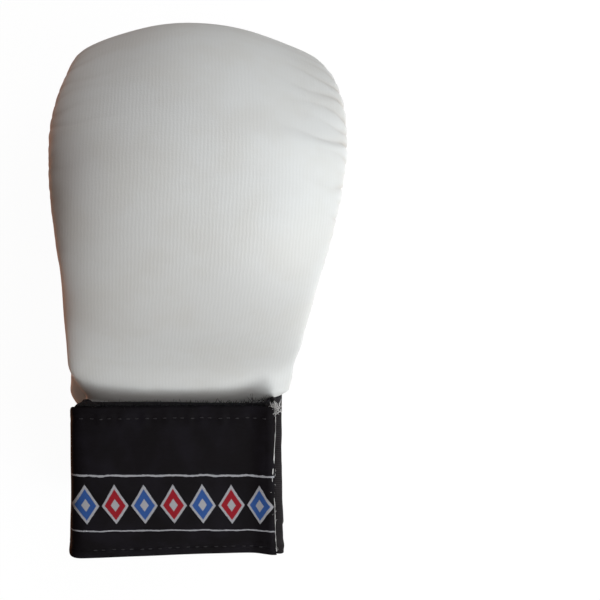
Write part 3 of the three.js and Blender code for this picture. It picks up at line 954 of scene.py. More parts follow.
class ShaderGraph:
    """The nodes of one material."""

    def __init__(self, name: str) -> None:
        """Starts a material with a Principled shader.

        Args:
            name: the material's name.
        """
        self.material = bpy.data.materials.new(name)
        self.material.use_nodes = True
        self.tree = self.material.node_tree
        self.shader = next(n for n in self.tree.nodes if n.type == "BSDF_PRINCIPLED")

    def add(self, kind: str, settings: dict, inputs: dict) -> bpy.types.Node:
        """Adds a node.

        Args:
            kind: the node's type.
            settings: its settings.
            inputs: values or links of its sockets, by name or number.

        Returns:
            The node.
        """
        node = self.tree.nodes.new(kind)
        for name, value in settings.items():
            setattr(node, name, value)
        for key, value in inputs.items():
            self.feed(node.inputs[key], value)
        return node

    def feed(self, socket: bpy.types.NodeSocket, value: object) -> None:
        """Sets a socket to a value, or links it.

        Args:
            socket: the socket.
            value: a number, a colour, a signal or another socket.
        """
        if isinstance(value, Signal):
            value = value.socket
        if isinstance(value, bpy.types.NodeSocket):
            self.tree.links.new(value, socket)
        elif isinstance(value, tuple) and len(value) == 3 and socket.type == "RGBA":
            socket.default_value = (*value, 1.0)
        else:
            socket.default_value = value

    def cloth(self) -> tuple[Signal, Signal]:
        """The cloth map's two lengths in millimetres, across and along.

        Returns:
            The two lengths.
        """
        uv = self.add("ShaderNodeUVMap", {"uv_map": "cloth"}, {})
        split = self.add("ShaderNodeSeparateXYZ", {}, {0: uv.outputs[0]})
        return Signal(self, split.outputs[0]), Signal(self, split.outputs[1])

    def fold(self) -> Signal:
        """The fold shade, 0 to 1."""
        node = self.add("ShaderNodeAttribute", {"attribute_name": "fold"}, {})
        return Signal(self, node.outputs["Fac"])

    def noise(
        self, u: Signal, v: Signal, size: float, detail: float = 2.0, seed: float = 0.0
    ) -> Signal:
        """Uneven noise on the cloth, 0 to 1.

        Args:
            u: length across, in millimetres.
            v: length along.
            size: size of its spots, in millimetres.
            detail: how many finer layers it has.
            seed: which noise.

        Returns:
            The noise.
        """
        spot = {0: u / size + seed * 7.3, 1: v / size - seed * 3.1}
        place = self.add("ShaderNodeCombineXYZ", {}, spot)
        inputs = {"Vector": place.outputs[0], "Scale": 1.0, "Detail": detail, "Roughness": 0.55}
        node = self.add("ShaderNodeTexNoise", {"noise_dimensions": "2D"}, inputs)
        return Signal(self, node.outputs[0])

    def blend(self, share: Signal, low: Paint, high: Paint) -> Paint:
        """Mixes two colours and returns the mixed one's socket."""
        node = self.add("ShaderNodeMix", {"data_type": "RGBA"}, {0: share, 6: low, 7: high})
        return node.outputs[2]

    def dress(
        self, inputs: dict, height: Signal | None = None, relief: float = 0.0
    ) -> bpy.types.Material:
        """Feeds the shader.

        Args:
            inputs: values or links of its sockets.
            height: raised pattern, about 0 to 1.
            relief: how high a height of 1 stands, in millimetres.

        Returns:
            The material.
        """
        for name, value in inputs.items():
            self.feed(self.shader.inputs[name], value)
        if height is not None:
            bumps = {"Height": height, "Distance": relief * 0.001, "Strength": 1.0}
            raised = self.add("ShaderNodeBump", {}, bumps)
            self.feed(self.shader.inputs["Normal"], raised.outputs[0])
        return self.material


class Finish:
    """A material that is made once and shared."""

    made: ClassVar[dict] = {}

    def material(self) -> bpy.types.Material:
        """The Blender material of this finish.

        Returns:
            The material.
        """
        if self not in Finish.made:
            Finish.made[self] = self.paint()
        return Finish.made[self]

    def paint(self) -> bpy.types.Material:
        """Makes the material."""
        raise NotImplementedError


@dataclass(frozen=True)
class Leatherette(Finish):
    """White coated cloth with the canvas of its backing embossed through."""

    name: str = "white_leatherette"
    colour: Colour = (0.695, 0.70, 0.69)
    # The colour of the painted shade in the folds.
    shade: Colour = (0.47, 0.435, 0.395)
    rib: float = 1.36
    bead: float = 1.85
    emboss: float = 0.015
    roughness: float = 0.5

    def paint(self) -> bpy.types.Material:
        """Ribs along the glove, beads on them, a fine grain and painted shade in the folds.

        Returns:
            The material.
        """
        graph = ShaderGraph(self.name)
        u, v = graph.cloth()
        drift = graph.noise(u, v, 7.0, 2.0)
        broken = graph.noise(u * 2.4, v, 5.0, 3.0, seed=1)
        grain = graph.noise(u, v, 0.6, 3.0, seed=2)
        tone = graph.noise(u, v, 24.0, 3.0, seed=3)
        ribs = u.ripple(self.rib, drift * 4.5)
        beads = v.ripple(self.bead, drift * 11.0 + ribs * 0.8)
        strong_ribs = ribs * (broken.step(0.2, 0.7) * 0.6 + 0.5)
        weave = strong_ribs + beads * broken.step(0.7, 0.3) * 0.22 + grain * 1.2
        soiled = tinted(self.colour, 0.965, 0.955, 0.94)
        light = graph.blend(tone.step(0.35, 0.7), self.colour, soiled)
        worn = graph.blend((weave * 0.5).step(0.2, 0.9) * 0.09, light, tinted(self.colour, 1.12))
        # The fold shade blends the colour towards the shade colour: painted shade in the creases,
        # grooves and seams.
        inputs = {
            "Base Color": graph.blend(graph.fold() * 0.85, worn, self.shade),
            "Roughness": grain * 0.12 + tone * 0.1 + (self.roughness - 0.11),
            "Specular IOR Level": 0.42, "Sheen Weight": 0.04, "Sheen Roughness": 0.5,
        }
        return graph.dress(inputs, weave, self.emboss)


@dataclass(frozen=True)
class LiningCloth(Finish):
    """Thin knitted lining, off-white with a warm cast."""

    name: str = "inner_lining"
    colour: Colour = (0.62, 0.55, 0.50)
    pitch: float = 1.1

    def paint(self) -> bpy.types.Material:
        """Fine knit columns and rows with uneven tone.

        Returns:
            The material.
        """
        graph = ShaderGraph(self.name)
        u, v = graph.cloth()
        drift = graph.noise(u, v, 6.0)
        tone = graph.noise(u, v, 15.0, 3.0, seed=4)
        turns = TAU / self.pitch
        knit = (u * turns + drift * 2).sine() * (v * turns).sine()
        fuzz = graph.noise(u, v, 0.5, 3.0, seed=5)
        # Uneven tone, and a little painted shade from the fold shade.
        dark = tone.step(0.3, 0.7) * 0.8 + graph.fold() * 0.2
        inputs = {
            "Base Color": graph.blend(dark, self.colour, tinted(self.colour, 0.8)),
            "Roughness": fuzz * 0.1 + 0.85,
            "Specular IOR Level": 0.2, "Sheen Weight": 0.3, "Sheen Roughness": 0.5,
        }
        return graph.dress(inputs, knit * 0.4 + fuzz * 0.6 + 0.4, 0.05)


@dataclass(frozen=True)
class Elastic(Finish):
    """Black woven elastic: ribs of rubber across it and a fine weave over them.

    Where it has a palm colour, its ground past the back of the cuff takes it: painted warm light on
    the palm side.
    """

    name: str = "black_elastic"
    colour: Colour = (0.0080, 0.0055, 0.0062)
    # The colour of the painted highlights on the raised dots.
    high: Colour = (0.028, 0.021, 0.024)
    rib: float = 1.15
    weave: float = 0.8
    relief: float = 0.12
    # Painted warm light for the palm side of the cuff.
    palm: Colour | None = None

    def paint(self) -> bpy.types.Material:
        """Ribs, a weave over them, painted highlights on the raised dots with random tone, painted
        shade in the folds and a faint warm cast.

        Returns:
            The material.
        """
        graph = ShaderGraph(self.name)
        u, v = graph.cloth()
        drift = graph.noise(u, v, 7.0)
        fuzz = graph.noise(u, v, 0.35, 3.0, seed=6)
        tone = graph.noise(u, v, 18.0, 3.0, seed=7)
        ribs = v.ripple(self.rib, drift * 2.2)
        dots = u.ripple(self.weave, ribs * 1.6) * ribs
        height = ribs.math("POWER", 0.7) * 0.4 + dots * 0.6 + fuzz * 0.5
        # Painted highlights on the raised dots, mixed with random tone; the fold shade takes them
        # out there, a painted shade.
        tone_and_painted_highs = (dots * 0.7 + fuzz * 0.6).step(0.35, 1.0) * 0.65 + tone.step(0.4, 0.8) * 0.2
        # The palm side takes the palm colour: painted warm light.
        ground = graph.blend(u.step(54, 46), self.colour, self.palm) if self.palm else self.colour
        inputs = {
            "Base Color": graph.blend(tone_and_painted_highs * (1.0 - graph.fold() * 0.9), ground, self.high),
            "Roughness": fuzz * 0.12 + 0.8,
            "Specular IOR Level": 0.14, "Sheen Weight": 0.02, "Sheen Roughness": 0.45,
        }
        return graph.dress(inputs, height, self.relief)


@dataclass(frozen=True)
class LabelSatin(Finish):
    """Black satin label with a plain woven band of lozenges between two thin lines."""

    name: str = "woven_label"
    colour: Colour = (0.0036, 0.0026, 0.0034)
    high: Colour = (0.0085, 0.0070, 0.0105)
    blue: Colour = (0.035, 0.10, 0.33)
    red: Colour = (0.33, 0.012, 0.022)
    silver: Colour = (0.42, 0.42, 0.45)
    band: float = 34.0
    pitch: float = 12.4
    tall: float = 8.2

    def paint(self) -> bpy.types.Material:
        """Satin threads, and the band's lozenges with silver edges in turn blue and red.

        Returns:
            The material.
        """
        graph = ShaderGraph(self.name)
        u, v = graph.cloth()
        threads = v.ripple(0.42)
        floats = graph.noise(u / 3.0, v, 0.5, 2.0, seed=8)
        tone = graph.noise(u, v, 14.0, 3.0, seed=9)
        ground = graph.blend(tone.step(0.35, 0.75) * 0.6 + floats * 0.25, self.colour, self.high)
        jitter = (floats - 0.5) * 0.5
        cell = u / self.pitch
        across = abs(cell.fraction() - 0.5) * self.pitch
        off = abs(v - self.band)
        within = (off + jitter) / self.tall + across / (self.pitch * 0.47)
        fill, edge, eye = within.step(0.80, 0.74), within.step(1.0, 0.95), within.step(0.34, 0.29)
        turn = (cell / 2).fraction().step(0.499, 0.501)
        twill = (u + v).ripple(0.75)
        lozenge = graph.blend(eye, graph.blend(turn, self.blue, self.red), self.silver)
        woven = graph.blend(fill, self.silver, lozenge)
        rail = abs(off + jitter - self.tall - 3.0).step(0.40, 0.28)
        motif = graph.blend(edge, ground, graph.blend(twill * 0.35, woven, self.colour))
        raised = (edge + rail).math("MINIMUM", 1.0) * (twill * 0.4 + 0.9)
        inputs = {
            "Base Color": graph.blend(rail * (twill * 0.3 + 0.65), motif, self.silver),
            "Roughness": floats * 0.16 + 0.55,
            "Specular IOR Level": 0.09,
        }
        return graph.dress(inputs, threads * 0.3 + floats * 0.35 + raised, 0.12)


@dataclass(frozen=True)
class Thread(Finish):
    """Twisted sewing thread."""

    name: str
    colour: Colour
    twist: float = 0.5

    def paint(self) -> bpy.types.Material:
        """Plies that wind round the thread, with slightly uneven colour.

        Returns:
            The material.
        """
        graph = ShaderGraph(self.name)
        u, v = graph.cloth()
        plies = (u * 3.0 + v).ripple(self.twist)
        tone = graph.noise(u, v, 2.5, 2.0, seed=11)
        low = tinted(self.colour, 0.78)
        inputs = {
            "Base Color": graph.blend(tone * 0.5 + plies * 0.3, self.colour, low),
            "Roughness": tone * 0.1 + 0.6,
            "Specular IOR Level": 0.35,
        }
        return graph.dress(inputs, plies, 0.06)


@dataclass(frozen=True)
class StudioPaper(Finish):
    """The pale floor and backdrop."""

    name: str = "studio_floor"
    colour: Colour = (0.05, 0.05, 0.05)
    glow: float = 0.965

    def paint(self) -> bpy.types.Material:
        """Matt white with a soft even glow, as a light table has.

        Returns:
            The material.
        """
        inputs = {
            "Base Color": self.colour, "Roughness": 0.9, "Specular IOR Level": 0.1,
            "Emission Color": (1.0, 1.0, 1.0), "Emission Strength": self.glow,
        }
        return ShaderGraph(self.name).dress(inputs)


SKIN = Leatherette()
SMOOTH_SKIN = Leatherette(
    name="white_leatherette_smooth", colour=(0.82, 0.825, 0.82), emboss=0.010, rib=1.2
)
BAND_ELASTIC = Elastic(name="strap_elastic", rib=0.95)
# The cuff's palm colour is painted warm light on its palm side, and its high colour the painted
# highlight.
CUFF_ELASTIC = Elastic(
    name="cuff_elastic", rib=1.05, relief=0.08,
    colour=(0.0062, 0.0056, 0.0074), high=(0.026, 0.024, 0.032), palm=(0.0115, 0.0060, 0.0068),
)
SEAM_ELASTIC = Elastic(
    name="seam_elastic", rib=0.7, weave=0.6, relief=0.1,
    colour=(0.010, 0.008, 0.009), high=(0.055, 0.050, 0.052),
)
WHITE_THREAD = Thread("white_thread", (0.80, 0.79, 0.78))
WHITE_FLUFF = Thread("white_fluff", (0.95, 0.93, 0.92))
BLACK_THREAD = Thread("black_thread", (0.032, 0.029, 0.033))
BLACK_FLUFF = Thread("black_fluff", (0.006, 0.005, 0.006))

# ---------------------------------------------------------------------------------------------
# Sewing.
# ---------------------------------------------------------------------------------------------


@dataclass
class Spot:
    """Places on a sewn piece: shares along and across it, and millimetres to its four edges."""

    f: Array
    g: Array
    start: Array
    end: Array
    first: Array
    last: Array

    def nearest(self) -> Array:
        """Distance to the nearest edge."""
        return np.minimum.reduce([self.start, self.end, self.first, self.last])

    def near_side(self) -> Array:
        """Distance to the nearer one of the edges that run along the piece."""
        return np.minimum(self.first, self.last)


def edge_steps(length: float, count: int, radius: float) -> Array:
    """Shares from 0 to 1, close together at both ends, where an edge is rounded.

    Args:
        length: from edge to edge.
        count: steps between the two roundings.
        radius: the roundings' radius.

    Returns:
        The shares.
    """
    curl = radius * (1 - np.cos(np.linspace(0, np.pi / 2, 6)))[:-1]
    middle = np.linspace(radius, length - radius, count)
    return np.concatenate([curl, middle, (length - curl)[::-1]]) / length


@dataclass
class ClothWall:
    """A piece of cloth or webbing with two faces and rounded edges."""

    name: str
    node: str
    finish: Finish
    slot: Slot
    thickness: float = 2.4
    cells: tuple[int, int] = (90, 90)
    ruler: tuple[Array, Array, Array] | None = field(default=None, init=False)

    def surface(self, f: Array, g: Array, depth: Array | float) -> Array:
        """The piece's shape: f along the glove, g across it, and a depth under its outer face."""
        raise NotImplementedError

    def relief(self, spot: Spot) -> Array:
        """How far the outer face stands out, in millimetres."""
        return 0.0 * spot.f

    def folds(self, spot: Spot) -> Array:
        """Shade of folds and seams, 0 to 1."""
        return 0.0 * spot.f

    def spot(self, f: Array, g: Array) -> Spot:
        """The distances to the edges at shares along and across.

        Args:
            f: shares along the piece.
            g: shares across it.

        Returns:
            The places.
        """
        if self.ruler is None:
            steps = np.linspace(0, 1, 49)
            grid = self.surface(*np.meshgrid(steps, steps, indexing="ij"), 0.0)
            along = np.linalg.norm(np.diff(grid, axis=0), axis=2).sum(0)
            across = np.linalg.norm(np.diff(grid, axis=1), axis=2).sum(1)
            self.ruler = (steps, along, across)
        steps, along, across = self.ruler
        v, u = np.interp(g, steps, along), np.interp(f, steps, across)
        return Spot(f, g, f * v, (1 - f) * v, g * u, (1 - g) * u)

    def rim(self, spot: Spot) -> tuple[Array, Array]:
        """How far the rounded edge lowers the face, and how much of the relief is left there."""
        radius = self.thickness / 2
        return rounding(spot.nearest(), radius), np.clip(spot.nearest() / radius, 0, 1)

    def outer(self, f: Array, g: Array) -> Array:
        """The finished outer face.

        Args:
            f: shares along the piece.
            g: shares across it.

        Returns:
            The points.
        """
        spot = self.spot(f, g)
        inset, calm = self.rim(spot)
        return self.surface(f, g, inset - self.relief(spot) * calm)

    def inner(self, f: Array, g: Array) -> Array:
        """The finished inner face, which follows the outer one a little.

        Args:
            f: shares along the piece.
            g: shares across it.

        Returns:
            The points.
        """
        spot = self.spot(f, g)
        inset, calm = self.rim(spot)
        follow = np.minimum(self.relief(spot), 0.25) * calm
        return self.surface(f, g, self.thickness - inset - follow)

    def build(self) -> bpy.types.Object:
        """Makes the piece and lets it stand for its CAD node.

        Returns:
            The piece.
        """
        self.spot(np.zeros(1), np.zeros(1))
        _, along, across = self.ruler
        f, g = np.meshgrid(
            edge_steps(float(along.mean()), self.cells[0], self.thickness / 2),
            edge_steps(float(across.mean()), self.cells[1], self.thickness / 2),
            indexing="ij",
        )
        spot = self.spot(f, g)
        cloth = np.stack([spot.first, spot.start], -1)
        shade = self.folds(spot)
        mesh = SoftMesh()
        outside = mesh.add(self.outer(f, g), cloth, shade)
        inside = mesh.add(self.inner(f, g), cloth, shade)
        border = np.zeros(f.shape, bool)
        border[[0, -1]] = border[:, [0, -1]] = True
        inside[border] = outside[border]
        mesh.tile(outside)
        mesh.tile(inside, flip=True)
        piece = mesh.build(self.name, self.finish, self.slot)
        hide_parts(self.node)
        return piece

    def cut(self) -> tuple[float, float]:
        """The flat size of the piece, in metres: across and along."""
        _, along, across = self.ruler
        return float(across.max()) / 1000, float(along.max()) / 1000

    def flat_area(self) -> float:
        """The flat area, in square metres.

        Returns:
            The area, no larger than the flat size allows.
        """
        steps = np.linspace(0, 1, 61)
        grid = self.surface(*np.meshgrid(steps, steps, indexing="ij"), 0.0) / 1000
        one = np.cross(grid[1:, :-1] - grid[:-1, :-1], grid[:-1, 1:] - grid[:-1, :-1])
        other = np.cross(grid[1:, :-1] - grid[1:, 1:], grid[:-1, 1:] - grid[1:, 1:])
        area = (np.linalg.norm(one, axis=2) + np.linalg.norm(other, axis=2)).sum() / 2
        width, length = self.cut()
        return float(min(area, width * length))


@dataclass
class Stitching:
    """A row of stitches, one shape copied along a line.

    A stitch's length, width and rise over the cloth are in millimetres.
    """

    name: str
    length: float
    width: float
    rise: float
    finish: Finish
    slot: Slot

    shape: ClassVar[tuple[Array, list] | None] = None

    @classmethod
    def stitch(cls) -> tuple[Array, list]:
        """One stitch of unit size, modelled once: a ball drawn out and flattened at its ends.

        Returns:
            Its points and its faces.
        """
        if cls.shape is None:
            bpy.ops.object.select_all(action="DESELECT")
            bpy.ops.mesh.primitive_uv_sphere_add(segments=8, ring_count=6, radius=1.0)
            ball = bpy.context.object
            bpy.ops.object.mode_set(mode="EDIT")
            bpy.ops.mesh.select_all(action="SELECT")
            bpy.ops.transform.rotate(value=np.pi / 2, orient_axis="Y", center_override=(0, 0, 0))
            bpy.ops.object.mode_set(mode="OBJECT")
            points = np.array([vertex.co for vertex in ball.data.vertices])
            points[:, 0] = np.sign(points[:, 0]) * np.abs(points[:, 0]) ** 0.7
            faces = [list(polygon.vertices) for polygon in ball.data.polygons]
            mesh = ball.data
            bpy.data.objects.remove(ball)
            bpy.data.meshes.remove(mesh)
            cls.shape = (points, faces)
        return cls.shape

    def sew(self, places: Array, ahead: Array, outward: Array) -> bpy.types.Object:
        """Sews the row.

        Args:
            places: the middle of each stitch.
            ahead: the direction of each.
            outward: the cloth's normal at each.

        Returns:
            The piece.
        """
        points, faces = self.stitch()
        ahead = unit(ahead)
        side = unit(np.cross(outward, ahead))
        up = np.cross(ahead, side)
        mesh = SoftMesh()
        size = np.array([self.length / 2, self.width / 2, self.rise])
        local = points * size
        for place, a, s, n in zip(places, ahead, side, up):
            cloth = np.stack([local[:, 1] * 1.5, local[:, 0]], -1)
            numbers = mesh.add(place + local @ np.stack([a, s, n]), cloth)
            mesh.faces.extend([[int(numbers[k]) for k in face] for face in faces])
        return mesh.build(self.name, self.finish, self.slot)


def on_surface(surface: Callable[[Array, Array], Array], f: Array, g: Array) -> tuple[Array, ...]:
    """Points of a surface with its direction across and its normal.

    Args:
        surface: the surface.
        f: first shares.
        g: second shares.

    Returns:
        Points, direction across and unit normal.
    """
    step = 2e-3
    point = surface(f, g)
    along = unit(surface(f + step, g) - surface(f - step, g))
    across = unit(surface(f, g + step) - surface(f, g - step))
    return point, across, unit(np.cross(across, along))


# ---------------------------------------------------------------------------------------------
# The glove's pieces.
# ---------------------------------------------------------------------------------------------


@dataclass
class BackCushion:
    """The foam pad with its skin, gathered into the side seams over the knuckles."""

    name: str = "back_cushion"
    fold_width: float = 0.085
    ridge_swell: float = 0.6
    smooth_crown: float = 0.25
    tuck_rows: ClassVar[Array] = np.arange(5.35, 12.1, 0.21)
    gathered_rows: tuple[float, float] = (5, 12.4)
    sewn_rows: tuple[float, float] = (0.2, 16.2)
    skin_rows: tuple[int, int, int] = (76, 270, 66)
    skin_columns: int = 60
    stitch_pitch: float = 3.3

    def creases(self, climb: float, right: bool) -> tuple[Array, Array, Array]:
        """Where the gathers lie at a height over the seam.

        Args:
            climb: 0 at the seam, 1 at the crown.
            right: True for the right side.

        Returns:
            The seam row of each, its depth and its reach.
        """
        at, reach, drift = (GATHERS.column(name) for name in ("at", "reach", "drift"))
        size = GATHERS.column("right" if right else "left")
        sway = 0.06 * np.sin(climb * 14 + at * 5) * min(climb * 8, 1.0)
        at = at + (0.0 if right else 0.09 * np.sin(at * 9))
        return at + drift * climb * 1.3 + sway, size, reach

    def gathers(self, row: Array, climb: float, right: bool) -> tuple[Array, Array, Array]:
        """The gathers along one line over the skin.

        Args:
            row: seam rows along the line.
            climb: its height, 0 at the seam, 1 at the crown.
            right: True for the right side.

        Returns:
            The pull and the sag in millimetres, and the fold shade.
        """
        at, size, reach = self.creases(climb, right)
        skew = GATHERS.column("skew")
        # Rolls of cloth between each gather and the next, which hang over the seam.
        i = np.clip(np.searchsorted(at, row) - 1, 0, len(at) - 2)
        share = np.clip((row - at[i]) / (at[i + 1] - at[i]), 0, 1)
        peak = 0.5 + 0.28 * np.sin(i * 2.9)
        bent = np.where(share < peak, share / peak, (1 - share) / (1 - peak))
        roll = np.sqrt(np.clip(1 - (1 - bent) ** 2, 0, 1))
        near = np.exp(-((climb / ((0.085 + 0.085 * reach) * (1.0 if right else 0.8))) ** 1.7))
        swell = mix((size * near)[i], (size * near)[i + 1], smoothstep(share, 0.3, 0.7))
        inside = smoothstep(row, at[0] - 0.3, at[0]) * (1 - smoothstep(row, at[-1], at[-1] + 0.3))
        depth = (1.15 * swell * (1 - roll) - 0.42 * swell * roll) * inside
        shade = np.clip(1.3 * swell, 0, 1.2) * (1 - roll) ** 2.2 * inside
        # Sharp valleys that run on up the side, each steeper on one flank.
        off = (row[:, None] - at) / (self.fold_width * (0.6 + 1.6 * climb))
        off = np.where(off > 0, off / (1 + skew), -off / (1 - skew))
        length = smoothstep(reach * 0.95 - climb, 0, reach * 0.65)
        valley = size * 0.46 * length * np.exp(-(off**1.25))
        shallow = 1 - (0.45 if right else 0.88) * float(smoothstep(climb, 0.1, 0.22))
        dark = (0.62 - 0.40 * smoothstep(climb, 0.15, 0.5)) / (0.36 + climb)
        depth = depth + shallow * valley.sum(1)
        return depth, 0.5 * swell * roll * inside, shade + dark * valley.sum(1)

    def tucks(self, row: Array, share: Array) -> Array:
        """The short fine folds between the gathers, close to the seam, one layer for each.

        Args:
            row: rows of the seam table.
            share: from the crown, 0, to a side seam, 1.

        Returns:
            How strong each is there, 0 to 1.
        """
        number, climb = np.arange(len(self.tuck_rows)), 1 - share[..., None]
        off = row[..., None] - self.tuck_rows - 0.07 * np.sin(number * 2.4) - 0.3 * climb
        near = smoothstep(0.13 + 0.07 * np.sin(number * 1.7) - climb, 0, 0.1)
        return np.exp(-((np.abs(off) / (self.fold_width * 0.45)) ** 1.4)) * near

    def pull(self, row: Array, across: Array) -> tuple[Array, Array, Array]:
        """How far the gathers draw the skin in.

        Args:
            row: seam rows, the same down each column.
            across: from the left seam, -1, to the right seam, 1, the same along each row.

        Returns:
            The pull and the sag in millimetres, and the fold shade.
        """
        depth, shade, sag = 0.0 * row, 0.0 * row, 0.0 * row
        for column, place in enumerate(across[0]):
            if abs(place) >= self.smooth_crown:
                depth[:, column], sag[:, column], shade[:, column] = self.gathers(
                    row[:, column], 1 - abs(place), bool(place > 0)
                )
        share, along = np.abs(across), row * ROW_LENGTH
        tuck, wave = self.tucks(row, share), np.sin(np.arange(len(self.tuck_rows)) * 5.1)
        depth = depth + ((0.46 + 0.2 * wave) * tuck).sum(-1)
        shade = shade + ((0.26 + 0.12 * wave) * tuck).sum(-1)
        zone = smoothstep(row, 4.8, 5.4) * (1 - smoothstep(row, 11.6, 12.6))
        depth = depth - self.ridge_swell * zone * smoothstep(share, 0.55, 0.9)
        flow = waves(along, across * 75, 3, 16, 40) * smoothstep(share, 0.25, 0.9)
        rumple = waves(along, across * 22, 6, 2.2, 5.0, 14) * zone * smoothstep(share, 0.45, 0.85)
        depth = depth + 0.22 * flow + 0.10 * waves(along, across * 75, 4, 30, 70) + 0.10 * rumple
        sewn = 0.5 + 0.5 * np.cos(along * TAU / self.stitch_pitch)
        depth = depth + 0.35 * smoothstep(share, 0.955, 1.0) * sewn
        # Painted shade along the seam edge, stronger and uneven among the gathers.
        seam_edge_shade = 0.5 + 0.4 * zone * (0.6 + 0.6 * waves(along, share, 8, 3, 9))
        return depth, sag, np.clip(shade + smoothstep(share, 0.975, 1.0) * seam_edge_shade, 0, 1)

    def build(self) -> bpy.types.Object:
        """Makes the pad: the fine skin outside and the plain face to the hand, closed all round.

        Returns:
            The piece.
        """
        plain, gathered, tip = self.skin_rows
        first, last = self.gathered_rows
        rows = np.concatenate([
            np.linspace(FIRST_ROW, first, plain)[:-1],
            np.linspace(first, last, gathered)[:-1],
            np.linspace(last, SEAM_END, tip),
        ])
        half = np.sin(np.linspace(0, np.pi / 2, self.skin_columns)) ** 0.9
        shares = np.concatenate([-half[:0:-1], half])
        row, across = np.meshgrid(rows, shares, indexing="ij")
        pull, sag, shade = self.pull(row, across)
        points = FORM.skin(row, across, pull, sag)
        middle = self.skin_columns - 1
        steps = np.linalg.norm(np.diff(points, axis=1), axis=2)
        u = np.concatenate([np.zeros((len(rows), 1)), steps.cumsum(1)], 1)
        u = u - u[:, middle : middle + 1]
        v = np.broadcast_to(run_length(points[:, middle])[:, None], u.shape)
        mesh = SoftMesh()
        skin = mesh.add(points, np.stack([u, v], -1), shade)
        core_rows, core_shares = np.linspace(FIRST_ROW, SEAM_END, 96), np.linspace(-1, 1, 31)
        face = FORM.core(*np.meshgrid(core_rows, core_shares, indexing="ij"), 0.0)
        core = mesh.add(face, face[..., :2])
        mesh.tile(skin)
        mesh.tile(core, flip=True)
        mesh.zip(skin[0], core[0])
        mesh.zip(skin[-1][::-1], core[-1][::-1])
        mesh.zip(skin[:, 0][::-1], core[:, 0][::-1])
        mesh.zip(skin[:, -1], core[:, -1])
        piece = mesh.build(self.name, SKIN, Slot.LEATHERETTE)
        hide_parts("back_pad")
        return piece

    def sew(self) -> None:
        """Sews the skin to the sleeve along both side seams."""
        rows = np.linspace(*self.sewn_rows, 4000)
        for side, word in ((1, "right"), (-1, "left")):
            middle, across, half = FORM.seam_frame(rows)
            line = middle + across * (side * (half + 0.15))[:, None]
            run = run_length(line)
            at = np.interp(np.arange(1.0, run[-1] - 1, self.stitch_pitch), run, np.arange(len(run)))
            number = at.astype(int)
            ahead = unit(np.gradient(line, axis=0))[number]
            outward = across[number] * side
            name = f"seam_stitches_{word}"
            stitching = Stitching(name, 1.9, 0.62, 0.34, WHITE_THREAD, Slot.LEATHERETTE)
            stitching.sew(line[number], ahead, outward)


@dataclass
class Lining(ClothWall):
    """The cloth on the pad's face to the hand."""

    name: str = "hand_lining"
    node: str = "lining"
    thickness: float = LINING_THICKNESS
    cells: tuple[int, int] = (110, 70)
    finish: Finish = LiningCloth()
    slot: Slot = Slot.LINING

    def surface(self, f: Array, g: Array, depth: Array | float) -> Array:
        """The lining lies half a millimetre under the pad's face."""
        row, across = mix(*LINING_SPAN, f), mix(-LINING_EDGE, LINING_EDGE, g)
        return FORM.core(row, across, LINING_DEPTH + self.thickness - np.asarray(depth))

    def relief(self, spot: Spot) -> Array:
        """Soft wrinkles."""
        return 0.3 * waves(spot.first, spot.start, 21, 9, 26) * smoothstep(spot.nearest(), 1, 8)

    def build(self) -> bpy.types.Object:
        """Makes the lining; its backing of thin foam is not made.

        Returns:
            The piece.
        """
        piece = super().build()
        return piece


@dataclass
class FingerRoll:
    """The small roll of foam inside the finger end."""

    name: str = "finger_roll_cushion"
    rows: int = 60
    columns: int = 90
    span: tuple[float, float] = (SEAM_END, 13.9)
    folds: tuple[float, float] = (0.62, 0.38)

    def front(self, place: Array, across: Array) -> Array:
        """The roll's side on the pad's face, wider past the finger strap."""
        row = mix(*self.span, place)
        return FORM.core(row, across * (1.02 + 0.06 * smoothstep(row, 14.6, 15.5)), 0.3)

    def back(self, place: Array, across: Array) -> Array:
        """The roll's bulging back, with two soft folds.

        Args:
            place: from the floor, 0, up to the finger tips, 1.
            across: from the left side, -1, to the right side, 1.

        Returns:
            The points.
        """
        foot = self.front(place, across)
        at = place * (len(ROLL_BACK.rows) - 1)
        y, z = ROLL_BACK.smooth("y", at), np.maximum(ROLL_BACK.smooth("z", at), 0.0)
        bulge = 0.3 + 0.7 * np.sqrt(1 - (np.abs(across) / 0.97) ** 7)
        high, low = self.folds
        fold = 0.9 * bump(place - high - 0.05 * np.sin(across * 4), 0.05)
        fold = fold + 0.5 * bump(place - low, 0.04)
        fold = fold + 0.25 * waves(place * 30, across * 36, 31, 8, 20)
        fold = fold * smoothstep(place, 0.25, 0.4) * smoothstep(1 - place, 0.05, 0.2)
        y, z = mix(foot[..., 1], y + fold, bulge), mix(foot[..., 2], z, bulge)
        return np.stack([foot[..., 0], y, z], -1)

    def build(self) -> bpy.types.Object:
        """Makes the roll.

        Returns:
            The piece.
        """
        width = np.linspace(-LINING_EDGE, LINING_EDGE, self.columns)
        place, across = np.meshgrid(np.linspace(0, 1, self.rows), width, indexing="ij")
        back = self.back(place, across)
        front = self.front(place, across)
        mesh = SoftMesh()
        cloth = np.stack([back[..., 0], place * 42], -1)
        # The fold shade paints shade along the roll's upper fold.
        outside = mesh.add(back, cloth, 0.5 * bump(place - self.folds[0], 0.04))
        inside = mesh.add(front, cloth)
        mesh.tile(outside)
        mesh.tile(inside, flip=True)
        for one, other in (
            (outside[0], inside[0]), (outside[-1][::-1], inside[-1][::-1]),
            (outside[:, 0][::-1], inside[:, 0][::-1]), (outside[:, -1], inside[:, -1]),
        ):
            mesh.tile(np.stack([one, other]), flip=True)
        piece = mesh.build(self.name, SMOOTH_SKIN, Slot.LEATHERETTE)
        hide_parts("finger_roll")
        return piece


# The angle where the sleeve's pieces start, just over the side seam.
FIRST_ANGLE = -0.4


def side_angle(angle: Array) -> Array:
    """The angle from the nearer side seam."""
    return np.minimum(angle, 180 - angle)


